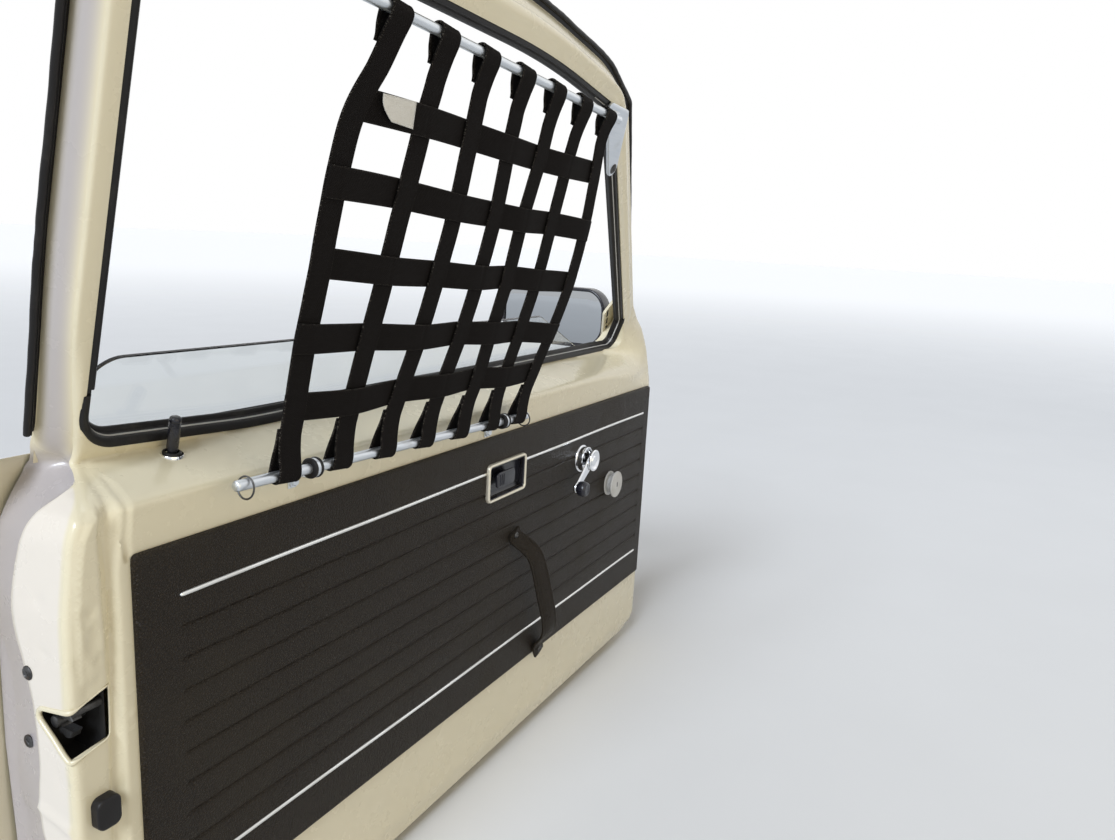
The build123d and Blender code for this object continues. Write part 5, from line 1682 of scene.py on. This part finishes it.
# Camera, light and floor

# The photo's camera, worked out from the trim card's corners: focal length and width in pixels of
# the photo, eye in the layout, and the directions of its right, lower and forward sides.
FOCAL_PIXELS, PHOTO_WIDTH = 880.537, 1115
EYE = (-407.9865, -560.9516, 249.5158)
EYE_RIGHT = (0.4659402, -0.8833268, 0.0513181)
EYE_DOWN = (-0.1574112, -0.1398259, -0.977584)
EYE_AHEAD = (0.8707017, 0.4474176, -0.204196)


def build_stage():
    scene = bpy.context.scene
    low = CAD_BOX[0]
    size = 40.0
    mesh = bpy.data.meshes.new("floor")
    z = low.z - 0.002
    mesh.from_pydata([(-size, -size, z), (size, -size, z), (size, size, z), (-size, size, z)], [],
                     [(0, 1, 2, 3)])
    floor = bpy.data.objects.new("floor", mesh)
    scene.collection.objects.link(floor)
    f = Finish("floor_paper")
    f.shader.inputs["Emission Strength"].default_value = 1.0
    ring = f.node("ShaderNodeVectorMath", {"operation": "LENGTH"}, {0: f.coords()}, 1)
    f.feed("Emission Color", f.mix(ring.ease(1.5, 14.0), (0.0, 0.0, 0.0), (0.30, 0.30, 0.30)))
    mesh.materials.append(f.done(f.mix(f.noise(4.0, 3.0), (0.82, 0.81, 0.79), (0.86, 0.85, 0.83)), 0.9))
    lights = scene.door_lights
    world = bpy.data.worlds.new("studio")
    scene.world = world
    world.use_nodes = True
    tree = world.node_tree
    tree.nodes.clear()
    path, out, soft, white, mix, first, second = (tree.nodes.new("ShaderNode" + kind) for kind in (
        "LightPath", "OutputWorld", "Background", "Background", "MixShader", "Math", "Math"))
    for light, tint, power in ((soft, (0.96, 0.975, 1.0, 1), lights.sky), (white, (1, 1, 1, 1), 1.0)):
        light.inputs[0].default_value, light.inputs[1].default_value = tint, power
    first.operation = second.operation = "MAXIMUM"
    for source, target in (
        (path.outputs["Is Camera Ray"], first.inputs[0]),
        (path.outputs["Is Transmission Ray"], first.inputs[1]),
        (first.outputs[0], second.inputs[0]), (path.outputs["Is Glossy Ray"], second.inputs[1]),
        (second.outputs[0], mix.inputs[0]), (soft.outputs[0], mix.inputs[1]),
        (white.outputs[0], mix.inputs[2]), (mix.outputs[0], out.inputs[0]),
    ):
        tree.links.new(source, target)
    for name, kind, spot, aim, width, power, tint in (
        ("sun", "SUN", (-4.0, -0.3, 3.0), (0.0, 0.0, 0.0), 0.5, lights.sun, (0.81, 0.885, 1.0)),
        ("cabin", "AREA", (-1.5, -2.6, 0.5), (-0.6, 0.0, 0.0), 2.4, lights.cabin, (1.0, 0.80, 0.42)),
        ("front", "AREA", (1.8, -1.4, 1.6), (-0.2, 0.0, 0.0), 2.0, lights.front, (1.0, 1.0, 1.0)),
    ):
        lamp = bpy.data.lights.new(name, kind)
        lamp.energy, lamp.color = power, tint
        if kind == "SUN":
            lamp.angle = width
        else:
            lamp.size = width
        obj = bpy.data.objects.new(name, lamp)
        obj.location = spot
        obj.rotation_euler = (Vector(aim) - Vector(spot)).to_track_quat("-Z", "Y").to_euler()
        scene.collection.objects.link(obj)
    cam = bpy.data.cameras.new("camera")
    cam.sensor_width, cam.lens = 36.0, FOCAL_PIXELS * 36 / PHOTO_WIDTH
    cam.clip_start, cam.clip_end = 0.02, 100
    eye = bpy.data.objects.new("camera", cam)
    right, down, ahead = map(Vector, (EYE_RIGHT, EYE_DOWN, EYE_AHEAD))
    turn = Matrix((right, -down, -ahead)).transposed()
    eye.matrix_world = Matrix.Translation(Vector(metres(EYE).tolist())) @ turn.to_4x4()
    scene.collection.objects.link(eye)
    scene.camera = eye
    scene.view_settings.view_transform = "Standard"


# Add-on parts

def colour(name, words, value):
    return bpy.props.FloatVectorProperty(
        name=name, description=words, subtype="COLOR", size=3, min=0, max=1, default=value)


def strength(name, words, value, kind="NONE"):
    return bpy.props.FloatProperty(name=name, description=words, subtype=kind, default=value, min=0)


class DoorColours(bpy.types.PropertyGroup):
    """Colours a user would change."""
    paint: colour("Paint", "Body paint", (0.76, 0.685, 0.49))
    vinyl: colour("Vinyl", "Trim card and pull strap", (0.024, 0.0168, 0.0095))
    rubber: colour("Rubber", "Seals and buffers", (0.012, 0.011, 0.011))
    webbing: colour("Webbing", "Straps of the window net", (0.0085, 0.0068, 0.0060))


class DoorLights(bpy.types.PropertyGroup):
    """Strength of the studio lamps."""
    sky: strength("Sky", "Even light from all round", 0.30)
    sun: strength("Sun", "Wide soft lamp above the shut face", 2.85)
    cabin: strength("Cabin", "Warm lamp towards the trim card", 14.0, "POWER")
    front: strength("Front", "Lamp towards the hinges", 4.0, "POWER")


def operator(idname, label, words, work):
    """Operator class that runs one builder."""
    def execute(self, context):
        work()
        return {"FINISHED"}
    name = "DOOR_OT_" + idname.split(".")[1]
    members = {"bl_idname": idname, "bl_label": label, "__doc__": words, "execute": execute}
    return type(name, (bpy.types.Operator,), members)


def build_net():
    build_rows()
    stitches, aims = build_uprights()
    build_stitches(stitches, aims)
    build_tag()


OPERATORS = [
    operator("door.stage", "Stage", "Floor, lamps, background and camera.", build_stage),
    operator("door.pressing", "Pressing", "Inner pressing with the window frame.", build_pressing),
    operator("door.frame_seal", "Frame seal", "Rubber bulb round the frame.", build_frame_seal),
    operator("door.window_rubbers", "Window rubbers", "Rubbers round the window opening.",
             build_window_rubbers),
    operator("door.glass", "Glass", "Lowered window glass.", build_glass),
    operator("door.card", "Trim card", "Pleated vinyl card.", build_card),
    operator("door.strips", "Strips", "Bright strips on the card.", build_strips),
    operator("door.release", "Release", "Bezel, tray and paddle of the inner release.", build_release),
    operator("door.winder", "Winder", "Window winder.", build_winder),
    operator("door.disc", "Disc knob", "Turned knob ahead of the winder.", build_disc),
    operator("door.pull", "Pull strap", "Strap loop with its screws.", build_pull),
    operator("door.plunger", "Lock plunger", "Plunger and its rubber ring.", build_plunger),
    operator("door.latch", "Latch", "Latch box, fork and buffer.", build_latch),
    operator("door.screws", "Screws", "Screws and bolts of the shut faces.", build_screws),
    operator("door.net", "Window net", "Straps, threads and tag of the net.", build_net),
    operator("door.rods", "Rods", "Both rods and their ring pins.", build_rods),
    operator("door.clamps", "Clamps", "Clamps of the lower rod.", build_clamps),
    operator("door.tabs", "Tabs", "Tabs of the upper rod.", build_tabs),
    operator("door.mirror", "Mirror", "Outer mirror with its arm.", build_mirror),
    operator("door.handle", "Handle", "Outer pull and lock barrel.", build_handle),
    operator("door.nodes", "Solids", "Finishes of the solids shown as they are.", dress_nodes),
]


class DOOR_PT_panel(bpy.types.Panel):
    """Lists the door's pieces and settings."""
    bl_label = "Door"
    bl_idname = "DOOR_PT_panel"
    bl_space_type = "VIEW_3D"
    bl_region_type = "UI"
    bl_category = "Door"

    def draw(self, context):
        column = self.layout.column()
        for group in (context.scene.door_colours, context.scene.door_lights):
            for key in group.__annotations__:
                column.prop(group, key)
        for made in OPERATORS:
            column.operator(made.bl_idname)


CLASSES = [DoorColours, DoorLights, *OPERATORS, DOOR_PT_panel]


def register():
    for made in CLASSES:
        bpy.utils.register_class(made)
    bpy.types.Scene.door_colours = bpy.props.PointerProperty(type=DoorColours)
    bpy.types.Scene.door_lights = bpy.props.PointerProperty(type=DoorLights)


def unregister():
    del bpy.types.Scene.door_lights
    del bpy.types.Scene.door_colours
    for made in reversed(CLASSES):
        bpy.utils.unregister_class(made)


def main():
    register()
    for made in OPERATORS:
        group, name = made.bl_idname.split(".")
        getattr(getattr(bpy.ops, group), name)()


if __name__ == "__main__":
    main()
